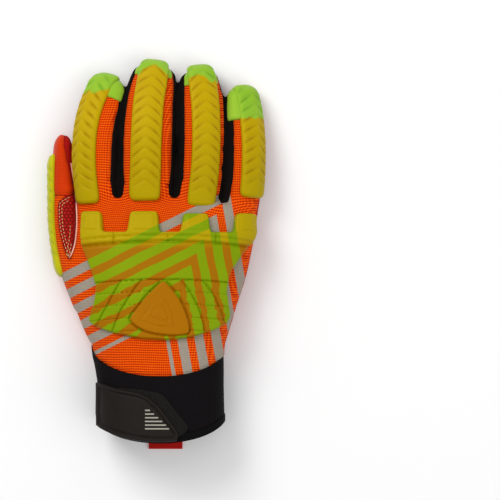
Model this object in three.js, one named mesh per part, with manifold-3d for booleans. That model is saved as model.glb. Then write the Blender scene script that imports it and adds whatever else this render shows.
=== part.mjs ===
// A cut-resistant rigger glove for the right hand, lying on its palm with the back of the hand up.
// X runs from the thumb side to the little finger, Y to the fingertips, and Z up. Millimetres.
// The hand is a set of lofts through short tables. Grown or shrunk by a wall thickness, the same
// lofts give the outside of the cloth, the hollow for the hand, and everything sewn on top.
import * as THREE from 'three';
import { mergeVertices } from 'three/addons/utils/BufferGeometryUtils.js';
import Module from 'manifold-3d';

const wasm = await Module();
wasm.setup();

// Driving dimensions
const clothWall = 1.8;
const cuffWall = 2.8;
const seamGap = 0.3;
const guardThickness = 4.2;
const ribHeight = 0.9;
const guardLift = 0.75;
const patchThickness = 1.2;
const outerDetail = { digitSides: 12, palmSides: 22, cuffSides: 24, tipSteps: 2 };
const innerDetail = { digitSides: 6, palmSides: 12, cuffSides: 12, tipSteps: 1 };
const centreShift = [0.247, 3.756];

// A digit has a row for each section: its centre, then its half width and half depth. The roll turns
// its back towards +X, in degrees, and guardTurn turns its guard further. tip is the length of the
// round end past the last row. guardFrom is where the guard starts along Y, and guardHalf is half of
// its width, measured round the digit. A guard ends over the tip, or at guardTo where that is given.
const digits = {
  index: {
    roll: -12, tip: 9, guardFrom: 32, guardHalf: 10.2, guardTurn: -26, ribs: 8,
    rows: [
      { x: -38.0, y: 15, z: 19, w: 12, d: 10.5 },
      { x: -39.4, y: 37, z: 19.5, w: 14.5, d: 12.8 },
      { x: -40.2, y: 58.5, z: 20.5, w: 15, d: 12.3 },
      { x: -39.8, y: 79.5, z: 19.5, w: 15, d: 11.8 },
      { x: -37.8, y: 96.5, z: 15, w: 14, d: 11 },
      { x: -34.4, y: 109, z: 11.6, w: 12.8, d: 10.2 },
    ],
  },
  middle: {
    roll: -3, tip: 8, guardFrom: 35, guardHalf: 10.4, guardTurn: 0, ribs: 9,
    rows: [
      { x: -4.8, y: 15, z: 20.5, w: 15, d: 11 },
      { x: -5.5, y: 37, z: 21.5, w: 19, d: 13.2 },
      { x: -4.9, y: 58.5, z: 22.5, w: 19.2, d: 12.8 },
      { x: -4.4, y: 79.5, z: 22, w: 19.2, d: 12.4 },
      { x: -3.2, y: 100, z: 17.5, w: 18.3, d: 11.8 },
      { x: -1.2, y: 114, z: 13, w: 16.9, d: 11 },
      { x: -0.3, y: 120.5, z: 11.6, w: 15.2, d: 10.6 },
    ],
  },
  ring: {
    roll: 10, tip: 7.5, guardFrom: 30.5, guardHalf: 9.8, guardTurn: 3, ribs: 9,
    rows: [
      { x: 29.0, y: 12, z: 20, w: 13, d: 11 },
      { x: 29.8, y: 34.5, z: 20.5, w: 15.8, d: 12.8 },
      { x: 32.2, y: 55, z: 21.5, w: 16.6, d: 12.4 },
      { x: 33.2, y: 76, z: 21, w: 16.8, d: 12 },
      { x: 32.8, y: 96.5, z: 16.5, w: 16.4, d: 11.4 },
      { x: 31.6, y: 110.5, z: 12.4, w: 15, d: 10.6 },
      { x: 30.7, y: 117.5, z: 11, w: 13.6, d: 10 },
    ],
  },
  little: {
    roll: 22, tip: 6.5, guardFrom: 36, guardHalf: 11.6, guardTurn: 6, ribs: 7,
    rows: [
      { x: 55, y: 8, z: 18, w: 11, d: 9.5 },
      { x: 57.2, y: 31, z: 17.5, w: 12.6, d: 11.4 },
      { x: 59.4, y: 48.5, z: 18.5, w: 12.3, d: 11.2 },
      { x: 60.3, y: 69, z: 17.5, w: 12, d: 10.8 },
      { x: 59.9, y: 86, z: 13.8, w: 11.4, d: 10.2 },
      { x: 59.2, y: 98, z: 10.8, w: 10.6, d: 9.4 },
      { x: 58.6, y: 104.5, z: 9.9, w: 9.6, d: 9 },
    ],
  },
  thumb: {
    roll: -82, tip: 9, guardFrom: -19, guardTo: 64, guardHalf: 9, guardTurn: 0, ribs: 8,
    rows: [
      { x: -40.5, y: -34.5, z: 20, w: 17.5, d: 16 },
      { x: -49.5, y: -15, z: 18.5, w: 17, d: 14.6 },
      { x: -56, y: 1.5, z: 16.8, w: 15.8, d: 12.3 },
      { x: -61, y: 19.5, z: 15, w: 14.2, d: 9.4 },
      { x: -62.9, y: 38, z: 13.9, w: 13.2, d: 7.8 },
      { x: -63.6, y: 55, z: 13.2, w: 12.5, d: 7.2 },
      { x: -63.5, y: 68.5, z: 12.4, w: 11.2, d: 6.6 },
    ],
  },
};

// The palm block: its left and right edges, underside and top at each station along Y
const palmRows = [
  { y: -92, left: -40, right: 49, low: 3.4, top: 53 },
  { y: -69, left: -42.5, right: 48.5, low: 2.4, top: 51 },
  { y: -57, left: -47.5, right: 51.5, low: 1.9, top: 49.5 },
  { y: -42, left: -53.5, right: 56, low: 1.9, top: 47.5 },
  { y: -25, left: -58, right: 61.5, low: 1.9, top: 46 },
  { y: -8, left: -60, right: 66, low: 2.6, top: 44.5 },
  { y: 8, left: -59, right: 69, low: 4, top: 42.8 },
  { y: 22, left: -56, right: 70.5, low: 5.4, top: 39.8 },
  { y: 31, left: -54.5, right: 69, low: 6.4, top: 36 },
  { y: 36, left: -52, right: 51, low: 8.5, top: 31 },
];

const cuffRows = [
  { y: -140, left: -39.2, right: 49.2, low: 3.2, top: 57 },
  { y: -100, left: -39.8, right: 48.2, low: 3.2, top: 55 },
  { y: -76, left: -40, right: 48, low: 3.2, top: 53 },
  { y: -58, left: -39.5, right: 47.5, low: 4, top: 52 },
];

// The two ends of the cuff are cut to half ellipses: the sides' Y, the sag, the middle and half span
const seamCurve = { y: -65.5, sag: 21, x: 4, half: 47 };
const hemCurve = { y: -112, sag: 20, x: 4.6, half: 46.5 };
const bindingHeight = 5.5;

// Where the orange back cloth meets the red palm cloth on the underside of the thumb's side
const thumbSeam = [
  { x: -15, y: -90 }, { x: -17, y: -80 }, { x: -27, y: -66 }, { x: -36, y: -52 }, { x: -42, y: -38 },
  { x: -48, y: -22 }, { x: -55, y: -4 }, { x: -60, y: 14 }, { x: -61.5, y: 38 }, { x: -62.5, y: 60 },
  { x: -62, y: 90 },
];
// The height of the seam along the outer flanks
const flankSeam = [
  { y: -95, z: 27 }, { y: -55, z: 25 }, { y: -20, z: 22 }, { y: 10, z: 20.5 }, { y: 36, z: 18.5 },
  { y: 58, z: 19 }, { y: 79, z: 18 }, { y: 97, z: 14 }, { y: 110, z: 11 }, { y: 135, z: 10 },
];
// The red cloth that shows from above between the thumb and the index finger
const webRows = [
  { y: -5, left: -58.5, right: -57.5 },
  { y: 2, left: -62.5, right: -55.6 },
  { y: 14, left: -65, right: -53.9 },
  { y: 28, left: -65, right: -54 },
  { y: 37, left: -61.5, right: -54.6 },
  { y: 60, left: -62.5, right: -55.6 },
  { y: 90, left: -62, right: -56.2 },
];

// A gusset fills the gap between two fingers from the crotch on. On the flank of each finger it lies
// between two heights, given as shares of the finger's half depth.
const gussetLow = -0.62;
const gussetPlaces = [
  { name: 'gusset_index_middle', left: 'index', leftTop: 0.72, right: 'middle', rightTop: 0.7, crotch: 34 },
  { name: 'gusset_middle_ring', left: 'middle', leftTop: 0.65, right: 'ring', rightTop: 0.76, crotch: 34 },
  { name: 'gusset_ring_little', left: 'ring', leftTop: 0.55, right: 'little', rightTop: 0.8, crotch: 24 },
];

// The film on the thumb's tip starts at this Y, and lies on the thumb's side of this X
const thumbFilm = { from: 38, right: -54 };

const knuckleOutline = {
  thickness: 3.2,
  tabHeight: 5.4,
  tabs: [
    { from: -48.2, to: -35.9, top: 26.2, foot: 3.4 },
    { from: -15.7, to: 2.5, top: 26, foot: 3.2 },
    { from: 20.4, to: 36.9, top: 24.6, foot: 3.2 },
    { from: 56.1, to: 68, top: 25, foot: 3.2 },
  ],
  notchY: 12.3,
  rightSide: [[66, 4.7], [60.8, -1.3], [51.9, -15.2], [49.4, -27], [50.7, -42], [50.4, -48.6]],
  bottom: [[42.6, -53.9], [25.8, -59.3], [8.9, -61.3], [-7.9, -60.7], [-27.2, -56.9], [-41, -51]],
  leftSide: [[-43, -46], [-39.6, -33.7], [-39, -24.9], [-41, -18], [-45, -6.3], [-48.9, 2.7]],
};

// What stands higher on the guard: a plain band, then a fan below it with a middle wedge
const knuckleBlocks = [
  { height: 4.6, outline: [[-46, 3.6], [61, 3.6], [52, -12], [50, -18.6], [-38, -18.6], [-41, -12]] },
  {
    height: 4,
    outline: [[-37, -22], [47, -22], [47, -47], [25, -55.5], [-8, -57], [-26, -53], [-39, -46]],
  },
  { height: 4.9, outline: [[6, -24], [21, -57], [-20, -57.5]] },
];

// Palm reinforcement: the outer outline, and the smooth channel cut into it from the thumb side
const palmPatchOutline = [
  [66, 6], [66.5, 26], [60, 34], [52, 36.5], [45.5, 28.5], [38, 34], [31, 45], [23, 35.5], [14, 32],
  [6, 36], [-3.5, 47.5], [-13, 37], [-24, 31.5], [-33, 36], [-44.5, 45], [-49, 30], [-48, 13],
  [-45, 7.5], [-38, 4], [-47, -1], [-46, -8], [-36, -26], [-26, -45], [-14, -57], [4, -64], [22, -61.5],
  [38, -53], [49, -40], [58, -22], [63, -8],
];
const channelOutline = [
  [-60, 9], [-38, 6.5], [-10, 6.5], [22, 6], [36, 2], [42, -8], [40, -22], [32, -36], [18, -44],
  [7, -40], [4, -30], [10, -22], [26, -16], [31, -9], [26, -4], [4, -1.5], [-36, 1.5], [-60, 5.5],
];
const webPatchOutline = [
  [-58.5, -3], [-62, 4], [-64, 15], [-63.6, 27], [-60.5, 34], [-55.2, 36], [-54.4, 22], [-55, 8],
];

const strapOutline = [
  [-38.4, -90.4], [-22.8, -94.9], [-9, -97.6], [-2.8, -100.4], [4.1, -106.6], [17.3, -124.5],
  [15.4, -140], [-38.4, -140],
];
const hookPadOutline = [
  [-36, -93], [-9, -95.5], [6.9, -99.4], [23.5, -120.4], [19.3, -127.3], [14, -128], [-12, -126],
  [-30, -119], [-36, -113],
];
const strapEndHeight = 22;
const hookPadThickness = 1.2;
const strapThickness = 1.6;

const pullTab = { x: 7.5, width: 23.5, top: -84, end: -138.4, slot: -118, thickness: 1, gap: 0.4 };
// The touch patch starts at this Y in the middle, and a little further out at its sides
const touchPatch = { digit: 'index', from: 88, sides: 92, thickness: 0.9 };
const touchProfile = [{ y: 80, z: 14 }, { y: 97, z: 9.5 }, { y: 110, z: 6.5 }, { y: 135, z: 6 }];

const colours = {
  orangeKnit: 0xf0520f, orangeFilm: 0xdf5420, redSuede: 0xb01a18, redGrip: 0xd2322a,
  blackKnit: 0x17140f, neoprene: 0x111113, strap: 0x24221f, hook: 0x0c0c0c, guard: 0xb4b11a,
};

// Shapes

function toSolid(geometry) {
  const bare = geometry.clone();
  for (const name of Object.keys(bare.attributes)) {
    if (name !== 'position') bare.deleteAttribute(name);
  }
  const merged = mergeVertices(bare, 1e-4);
  return new wasm.Manifold(new wasm.Mesh({
    numProp: 3,
    vertProperties: new Float32Array(merged.attributes.position.array),
    triVerts: new Uint32Array(merged.index.array),
  }));
}

function fromSolid(solid) {
  const mesh = solid.getMesh();
  const geometry = new THREE.BufferGeometry();
  geometry.setAttribute('position', new THREE.BufferAttribute(mesh.vertProperties, 3));
  geometry.setIndex(new THREE.BufferAttribute(mesh.triVerts, 1));
  geometry.computeVertexNormals();
  return geometry;
}

// A closed solid through rings of equal length that turn from +X to +Z about +Y, capped at both ends
function loftRings(rings) {
  const sides = rings[0].length;
  const positions = [];
  const faces = [];
  for (const ring of rings) {
    for (const point of ring) positions.push(point.x, point.y, point.z);
  }
  for (let j = 0; j < rings.length - 1; j++) {
    for (let i = 0; i < sides; i++) {
      const a = j * sides + i;
      const b = j * sides + (i + 1) % sides;
      faces.push(a, a + sides, b, b, a + sides, b + sides);
    }
  }
  const ends = [[rings[0], 0, false], [rings.at(-1), (rings.length - 1) * sides, true]];
  for (const [ring, first, flip] of ends) {
    const centre = ring.reduce((sum, point) => sum.add(point), new THREE.Vector3()).divideScalar(sides);
    const hub = positions.length / 3;
    positions.push(centre.x, centre.y, centre.z);
    for (let i = 0; i < sides; i++) {
      const a = first + i;
      const b = first + (i + 1) % sides;
      faces.push(...(flip ? [hub, b, a] : [hub, a, b]));
    }
  }
  const geometry = new THREE.BufferGeometry();
  geometry.setAttribute('position', new THREE.Float32BufferAttribute(positions, 3));
  geometry.setIndex(faces);
  return toSolid(geometry);
}

const signedPower = (value, power) => Math.sign(value) * Math.abs(value) ** power;

function catmullRom(rows, s, key) {
  const last = rows.length - 1;
  const j = Math.min(Math.floor(s), last - 1);
  const t = s - j;
  const [p0, p1, p2, p3] = [j - 1, j, j + 1, j + 2].map((k) => rows[Math.max(0, Math.min(last, k))][key]);
  return 0.5 * (2 * p1 + (p2 - p0) * t + (2 * p0 - 5 * p1 + 4 * p2 - p3) * t * t
    + (3 * p1 - p0 - 3 * p2 + p3) * t ** 3);
}

// The frame of a digit at station s: up to the last row along the table, then one more unit round the tip
function digitFrame(digit, s) {
  const last = digit.rows.length - 1;
  const along = Math.min(s, last);
  const read = (t) => new THREE.Vector3(
    catmullRom(digit.rows, t, 'x'),
    catmullRom(digit.rows, t, 'y'),
    catmullRom(digit.rows, t, 'z'),
  );
  const centre = read(along);
  const tangent = read(Math.min(along + 0.05, last)).sub(read(Math.max(along - 0.05, 0))).normalize();
  const side = new THREE.Vector3().crossVectors(tangent, new THREE.Vector3(0, 0, 1)).normalize();
  const up = new THREE.Vector3().crossVectors(side, tangent);
  const roll = THREE.MathUtils.degToRad(digit.roll);
  const across = side.clone().multiplyScalar(Math.cos(roll)).addScaledVector(up, -Math.sin(roll));
  const back = up.multiplyScalar(Math.cos(roll)).addScaledVector(side, Math.sin(roll));
  const w = catmullRom(digit.rows, along, 'w');
  const d = catmullRom(digit.rows, along, 'd');
  const turn = Math.max(0, s - last) * Math.PI / 2;
  return { centre, tangent, across, back, w, d, turn };
}

function digitPoint(digit, s, angle, grow) {
  const f = digitFrame(digit, s);
  const shrink = Math.cos(f.turn);
  return f.centre.clone()
    .addScaledVector(f.tangent, Math.sin(f.turn) * (digit.tip + grow))
    .addScaledVector(f.across, shrink * (f.w + grow) * signedPower(Math.cos(angle), 0.86))
    .addScaledVector(f.back, shrink * (f.d + grow) * signedPower(Math.sin(angle), 0.86));
}

function digitSolid(digit, grow, detail = outerDetail) {
  const stations = digit.rows.map((row, j) => j);
  for (let k = 1; k <= detail.tipSteps; k++) {
    stations.push(digit.rows.length - 1 + k * 0.94 / detail.tipSteps);
  }
  const sides = detail.digitSides;
  return loftRings(stations.map((s) => Array.from({ length: sides },
    (none, i) => digitPoint(digit, s, 2 * Math.PI * i / sides, grow))));
}

// A block through rows of left, right, low and top, round above and flatter below
function blockSolid(rows, grow, sides, endGrow = 0) {
  return loftRings(rows.map((row, j) => {
    const y = row.y + (j === rows.length - 1 ? endGrow : 0);
    const middle = (row.left + row.right) / 2;
    const half = (row.right - row.left) / 2 + grow;
    const level = row.low + (row.top - row.low) * 0.45;
    return Array.from({ length: sides }, (none, i) => {
      const angle = 2 * Math.PI * i / sides;
      const above = Math.sin(angle) >= 0;
      const reach = above ? row.top - level + grow : level - row.low + grow;
      return new THREE.Vector3(
        middle + half * signedPower(Math.cos(angle), above ? 0.84 : 0.66),
        y,
        level + reach * signedPower(Math.sin(angle), above ? 0.84 : 0.5),
      );
    });
  }));
}

function handSolid(grow, detail = outerDetail) {
  let hand = blockSolid(palmRows, grow, detail.palmSides, grow);
  for (const digit of Object.values(digits)) hand = hand.add(digitSolid(digit, grow, detail));
  return hand;
}

// An upright prism over a closed outline in XY, rounded through its points where asked
function prism(points, low, high, rounded = false) {
  const corners = points.map((p) => (Array.isArray(p) ? { x: p[0], y: p[1] } : p));
  let outline = corners.map((p) => new THREE.Vector3(p.x, p.y, 0));
  if (rounded) {
    const curve = new THREE.CatmullRomCurve3(outline, true, 'centripetal');
    outline = curve.getPoints(Math.round(outline.length * 1.5)).slice(0, -1);
  }
  const shape = new THREE.Shape(outline.map((p) => new THREE.Vector2(p.x, p.y)));
  const geometry = new THREE.ExtrudeGeometry(shape, { depth: high - low, bevelEnabled: false });
  return toSolid(geometry.translate(0, 0, low));
}

// Everything under a profile in YZ, right across the glove
function underProfile(profile, lift) {
  const shape = new THREE.Shape([
    ...profile.map((p) => new THREE.Vector2(p.y, p.z + lift)),
    new THREE.Vector2(profile.at(-1).y, -20),
    new THREE.Vector2(profile[0].y, -20),
  ]);
  const geometry = new THREE.ExtrudeGeometry(shape, { depth: 260, bevelEnabled: false });
  geometry.applyMatrix4(new THREE.Matrix4().makeBasis(
    new THREE.Vector3(0, 1, 0), new THREE.Vector3(0, 0, 1), new THREE.Vector3(1, 0, 0),
  ));
  return toSolid(geometry.translate(-130, 0, 0));
}

// Everything on the fingers' side of an end curve of the cuff
function aboveCurve(curve, shift) {
  const steps = 12;
  const points = [];
  for (let k = 0; k <= steps; k++) {
    const angle = Math.PI * k / steps;
    points.push([curve.x - curve.half * Math.cos(angle), curve.y + shift - curve.sag * Math.sin(angle)]);
  }
  points.push([160, curve.y + shift], [160, 190], [-160, 190], [-160, curve.y + shift]);
  return prism(points, -30, 90);
}

// The cloth shell and its panels

// The part of the glove that is cut from the red palm cloth; grow moves its border outwards
function palmRegion(grow) {
  const inner = thumbSeam.map((p) => ({ x: p.x - grow, y: p.y }));
  const lower = prism([...inner, { x: -48, y: 150 }, { x: 130, y: 150 }, { x: 130, y: -90 }], -20, 60)
    .intersect(underProfile(flankSeam, grow));
  const web = prism([
    ...webRows.map((row) => ({ x: row.right + grow, y: row.y - grow })),
    ...webRows.map((row) => ({ x: row.left - grow, y: row.y - grow })).reverse(),
  ], 8, 60);
  return lower.add(web);
}

// The stretch gusset takes a band along one flank of a digit
function gussetBand(digit, sideSign, topShare, grow) {
  const last = digit.rows.length - 1;
  const near = -sideSign * grow;
  const rings = [0.75, ...[...digit.rows.keys()].slice(1)].map((s) => {
    const f = digitFrame(digit, s);
    const corner = (a, b) => f.centre.clone().addScaledVector(f.tangent, s === last ? grow : 0)
      .addScaledVector(f.across, a).addScaledVector(f.back, b);
    const reach = sideSign * (f.w + 2.5 + grow);
    const [right, left] = [Math.max(near, reach), Math.min(near, reach)];
    const [bottom, top] = [gussetLow * f.d - grow, topShare * f.d + grow];
    return [corner(right, bottom), corner(right, top), corner(left, top), corner(left, bottom)];
  });
  return loftRings(rings);
}

const outside = handSolid(0);
const hollow = handSolid(-clothWall, innerDetail).add(
  blockSolid([{ ...palmRows[0], y: -100 }, palmRows[0], palmRows[1]], -clothWall, innerDetail.palmSides),
);
const shell = outside.subtract(hollow).intersect(aboveCurve(seamCurve, seamGap / 2));

// The gap between two fingers, from the middle of one to the middle of the next
function gapPrism(left, right, crotch, grow) {
  const leftEdge = left.rows.map((row) => [row.x - grow, row.y]);
  const rightEdge = right.rows.map((row) => [row.x + grow, row.y]);
  leftEdge[0][1] = crotch - grow;
  rightEdge[0][1] = crotch - grow;
  return prism([
    ...leftEdge,
    [leftEdge.at(-1)[0], 150 + grow],
    [rightEdge.at(-1)[0], 150 + grow],
    ...rightEdge.reverse(),
  ], -20 - grow, 60 + grow);
}

function gussetRegion(place, grow) {
  const [left, right] = [digits[place.left], digits[place.right]];
  return gussetBand(left, 1, place.leftTop, grow)
    .add(gussetBand(right, -1, place.rightTop, grow))
    .intersect(gapPrism(left, right, place.crotch, grow));
}

let palmPanel = shell.intersect(palmRegion(0));
let backPanel = shell.subtract(palmRegion(seamGap));
const gussets = {};
for (const place of gussetPlaces) {
  gussets[place.name] = shell.intersect(gussetRegion(place, 0));
  const cut = gussetRegion(place, seamGap);
  palmPanel = palmPanel.subtract(cut);
  backPanel = backPanel.subtract(cut);
}
const thumbCapBox = (grow) => prism([
  [-80, thumbFilm.from - grow], [thumbFilm.right, thumbFilm.from - grow], [thumbFilm.right, 95], [-80, 95],
], -20, 60);
const thumbCap = backPanel.intersect(thumbCapBox(0));
backPanel = backPanel.subtract(thumbCapBox(seamGap));

// What is sewn on top

const skin = handSolid(seamGap);

function layer(inner, outer, outline, low, high, rounded) {
  return outer.subtract(inner).intersect(prism(outline, low, high, rounded));
}

function knucklePoints() {
  const points = [];
  for (const tab of knuckleOutline.tabs) {
    if (points.length) points.push([tab.from - tab.foot, knuckleOutline.notchY]);
    points.push([tab.from - 0.6, tab.top - 2], [tab.from + 1, tab.top]);
    points.push([tab.to - 1, tab.top], [tab.to + 0.6, tab.top - 2]);
    if (tab !== knuckleOutline.tabs.at(-1)) points.push([tab.to + tab.foot, knuckleOutline.notchY]);
  }
  const { rightSide, bottom, leftSide } = knuckleOutline;
  return [...points, ...rightSide, ...bottom, ...leftSide].reverse();
}

const handArea = [[-90, -90], [110, -90], [110, 130], [-90, 130]];
let knuckleGuard = layer(skin, handSolid(knuckleOutline.thickness), knucklePoints(), 12, 80);
for (const tab of knuckleOutline.tabs) {
  const block = [
    [tab.from + 1, 8], [tab.to - 1, 8], [tab.to - 1.6, tab.top - 1.6], [tab.from + 1.6, tab.top - 1.6],
  ];
  knuckleGuard = knuckleGuard.add(layer(skin, handSolid(knuckleOutline.tabHeight), block, 12, 80));
}
for (const { height, outline } of knuckleBlocks) {
  knuckleGuard = knuckleGuard.add(layer(skin, handSolid(height), outline, 12, 80));
}
knuckleGuard = knuckleGuard.intersect(prism(handArea, 20, 90));

// A finger guard is a strip along the back of a digit, with ribs bent like chevrons
function guardSolid(digit) {
  const last = digit.rows.length - 1;
  let start = 0;
  while (digitFrame(digit, start).centre.y < digit.guardFrom) start += 0.02;
  let end = last + 0.8;
  if (digit.guardTo) {
    while (digitFrame(digit, end).centre.y > digit.guardTo) end -= 0.02;
  }
  const columns = 4;
  const rows = digit.ribs * 2;
  const turn = THREE.MathUtils.degToRad(digit.guardTurn);
  const rings = [];
  for (let j = 0; j <= rows; j++) {
    const share = j / rows;
    const atEnd = j === 0 || j === rows;
    const narrow = atEnd ? 0.7 : 1;
    const lift = atEnd ? guardThickness * 0.5 : guardThickness - (j % 2 ? ribHeight : 0);
    const top = [];
    const base = [];
    for (let i = 0; i <= columns; i++) {
      const u = 1 - 2 * i / columns;
      const chevron = -0.3 * Math.abs(u) * Math.sin(Math.PI * share);
      const s = Math.max(start, Math.min(end, start + (end - start) * share + chevron));
      const f = digitFrame(digit, s);
      const arc = Math.min(1.3, digit.guardHalf / (f.w * Math.cos(f.turn))) * narrow;
      const angle = Math.PI / 2 - turn - u * arc;
      top.push(digitPoint(digit, s, angle, Math.abs(u) > 0.99 ? lift * 0.55 : lift));
      base.unshift(digitPoint(digit, s, angle, guardLift));
    }
    rings.push([...top, ...base]);
  }
  return loftRings(rings).subtract(skin);
}

const patchSkin = handSolid(seamGap + patchThickness);
const palmPatch = layer(skin, patchSkin, palmPatchOutline, -20, 60, true)
  .subtract(prism(channelOutline, -20, 60, true))
  .intersect(prism(handArea, -20, 13));
const webPatch = layer(skin, patchSkin, webPatchOutline, 10, 60, true);

const touchDigit = digits[touchPatch.digit];
const touchOutline = [
  [-60, touchPatch.sides], [-38, touchPatch.from], [-16, touchPatch.sides], [-16, 130], [-60, 130],
];
const touchTip = digitSolid(touchDigit, seamGap + touchPatch.thickness).subtract(skin)
  .intersect(prism(touchOutline, -20, 60))
  .intersect(underProfile(touchProfile, 0));

// The cuff

const cuffOuter = (grow) => blockSolid(cuffRows, grow, outerDetail.cuffSides);
const belowSeam = (solid) => solid.subtract(aboveCurve(seamCurve, -seamGap / 2));
const boreRows = [{ ...cuffRows[0], y: -150 }, ...cuffRows, { ...cuffRows.at(-1), y: -50 }];
const cuffTube = (grow, wall) => cuffOuter(grow)
  .subtract(blockSolid(boreRows, grow - wall, innerDetail.cuffSides));
const cuff = belowSeam(cuffTube(0, cuffWall)).intersect(aboveCurve(hemCurve, bindingHeight + seamGap / 2));
const binding = cuffTube(0.5, cuffWall + 0.8)
  .intersect(aboveCurve(hemCurve, 0))
  .subtract(aboveCurve(hemCurve, bindingHeight - seamGap / 2));

const hookPad = layer(cuffOuter(0.3), cuffOuter(0.3 + hookPadThickness), hookPadOutline, strapEndHeight, 90)
  .intersect(aboveCurve(hemCurve, bindingHeight + seamGap));
const strapBase = 0.6 + hookPadThickness;
const strapTop = strapBase + strapThickness;
const strap = layer(cuffOuter(strapBase), cuffOuter(strapTop), strapOutline, strapEndHeight, 90)
  .intersect(aboveCurve(hemCurve, 0.6));

// The pull tab is webbing folded back on itself under the cuff
function pullTabSolid() {
  const { x, width, top, end, slot: slotStart, thickness, gap } = pullTab;
  const height = 2 * thickness + gap;
  const outline = new THREE.Shape();
  outline.moveTo(top, 0);
  outline.lineTo(end + height / 2, 0);
  outline.absarc(end + height / 2, height / 2, height / 2, -Math.PI / 2, -3 * Math.PI / 2, true);
  outline.lineTo(top, height);
  outline.lineTo(top, 0);
  const slot = new THREE.Path();
  slot.moveTo(slotStart, thickness);
  slot.lineTo(slotStart, thickness + gap);
  slot.lineTo(end + height / 2, thickness + gap);
  slot.lineTo(end + height / 2, thickness);
  slot.lineTo(slotStart, thickness);
  outline.holes.push(slot);
  const settings = { depth: width, bevelEnabled: false, curveSegments: 4 };
  const geometry = new THREE.ExtrudeGeometry(outline, settings);
  geometry.applyMatrix4(new THREE.Matrix4().makeBasis(
    new THREE.Vector3(0, 1, 0), new THREE.Vector3(0, 0, 1), new THREE.Vector3(1, 0, 0),
  ));
  return toSolid(geometry.translate(x - width / 2, 0, 0));
}

// The glove

const glove = new THREE.Group();
glove.position.set(centreShift[0], centreShift[1], 0);

// The biggest body of a solid, without the slivers that a cut leaves
function wholePiece(solid) {
  return solid.decompose().sort((a, b) => b.volume() - a.volume())[0];
}

function addPiece(name, solid, color, roughness) {
  const mesh = new THREE.Mesh(
    fromSolid(wholePiece(solid)),
    new THREE.MeshStandardMaterial({ color, roughness, metalness: 0 }),
  );
  mesh.name = name;
  glove.add(mesh);
}

addPiece('back_panel', backPanel, colours.orangeKnit, 0.9);
addPiece('palm_panel', palmPanel, colours.redSuede, 0.95);
addPiece('thumb_cap', thumbCap, colours.orangeFilm, 0.6);
for (const [name, solid] of Object.entries(gussets)) addPiece(name, solid, colours.blackKnit, 0.9);
addPiece('palm_patch', palmPatch, colours.redGrip, 0.7);
addPiece('web_patch', webPatch, colours.redGrip, 0.7);
addPiece('touch_tip', touchTip, colours.blackKnit, 0.8);
addPiece('knuckle_guard', knuckleGuard, colours.guard, 0.45);
for (const [name, digit] of Object.entries(digits)) {
  addPiece(`guard_${name}`, guardSolid(digit), colours.guard, 0.45);
}
addPiece('cuff', cuff, colours.neoprene, 0.9);
addPiece('cuff_binding', binding, colours.neoprene, 0.85);
addPiece('hook_pad', hookPad, colours.hook, 1);
addPiece('wrist_strap', strap, colours.strap, 0.6);
addPiece('pull_tab', pullTabSolid(), colours.redGrip, 0.8);

export default glove;
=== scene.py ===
import math
import bpy
import numpy as np
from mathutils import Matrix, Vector, kdtree, noise
from mathutils.bvhtree import BVHTree


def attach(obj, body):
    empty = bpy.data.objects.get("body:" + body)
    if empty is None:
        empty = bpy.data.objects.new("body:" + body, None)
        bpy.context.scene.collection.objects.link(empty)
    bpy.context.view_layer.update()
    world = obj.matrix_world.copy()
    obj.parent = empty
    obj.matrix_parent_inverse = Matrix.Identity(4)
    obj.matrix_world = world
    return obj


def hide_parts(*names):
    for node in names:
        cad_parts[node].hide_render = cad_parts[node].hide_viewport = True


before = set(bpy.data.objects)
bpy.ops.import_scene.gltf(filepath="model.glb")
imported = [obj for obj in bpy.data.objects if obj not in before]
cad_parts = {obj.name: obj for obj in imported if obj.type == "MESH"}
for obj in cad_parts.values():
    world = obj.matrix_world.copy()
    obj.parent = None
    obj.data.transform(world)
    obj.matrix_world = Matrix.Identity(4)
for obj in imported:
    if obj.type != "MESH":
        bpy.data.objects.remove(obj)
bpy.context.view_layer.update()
print("frame loaded")

mm = 0.001
shift = np.array([0.247, 3.756, 0.0])  # the outlines below are in mm, from the middle of the hand
rayStart = 0.15  # in m, how far above or below the floor the rays that look for a surface start
onSkin = 0.12  # a vertex this near to the skin, in mm, lies on it


def deselectAll():
    bpy.ops.object.select_all(action="DESELECT")


def pick(*objects):
    deselectAll()
    for obj in objects:
        obj.select_set(True)
    bpy.context.view_layer.objects.active = objects[0]


def joinAll(objects, name):
    pick(*objects)
    bpy.ops.object.join()
    objects[0].name = name
    return objects[0]


def makeObject(name, points, faces):
    mesh = bpy.data.meshes.new(name)
    mesh.from_pydata([tuple(p) for p in points], [], faces)
    mesh.update()
    obj = bpy.data.objects.new(name, mesh)
    bpy.context.collection.objects.link(obj)
    return obj


def copyOf(obj, name):
    twin = obj.copy()
    twin.data = obj.data.copy()
    twin.name = name
    bpy.context.collection.objects.link(twin)
    return twin


def drop(*objects):
    for obj in objects:
        bpy.data.objects.remove(obj)


def finishWith(obj, kind, **settings):
    pick(obj)
    mod = obj.modifiers.new(kind.lower(), kind)
    for key, value in settings.items():
        setattr(mod, key, value)
    bpy.ops.object.modifier_apply(modifier=mod.name)
    return obj


def bevel(obj, width, segments, angle=50):
    finishWith(obj, "BEVEL", width=width * mm, segments=segments, limit_method="ANGLE",
               angle_limit=math.radians(angle))


def cut(obj, tool, how):
    return finishWith(obj, "BOOLEAN", operation=how, solver="MANIFOLD", object=tool)


# Cuts with a tool that isn't used again
def trim(obj, tool, how):
    cut(obj, tool, how)
    drop(tool)
    return obj


def pointsOf(obj):
    flat = np.zeros(len(obj.data.vertices) * 3)
    obj.data.vertices.foreach_get("co", flat)
    return flat.reshape(-1, 3)


def putPoints(obj, points):
    obj.data.vertices.foreach_set("co", points.ravel())
    obj.data.update()


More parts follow.
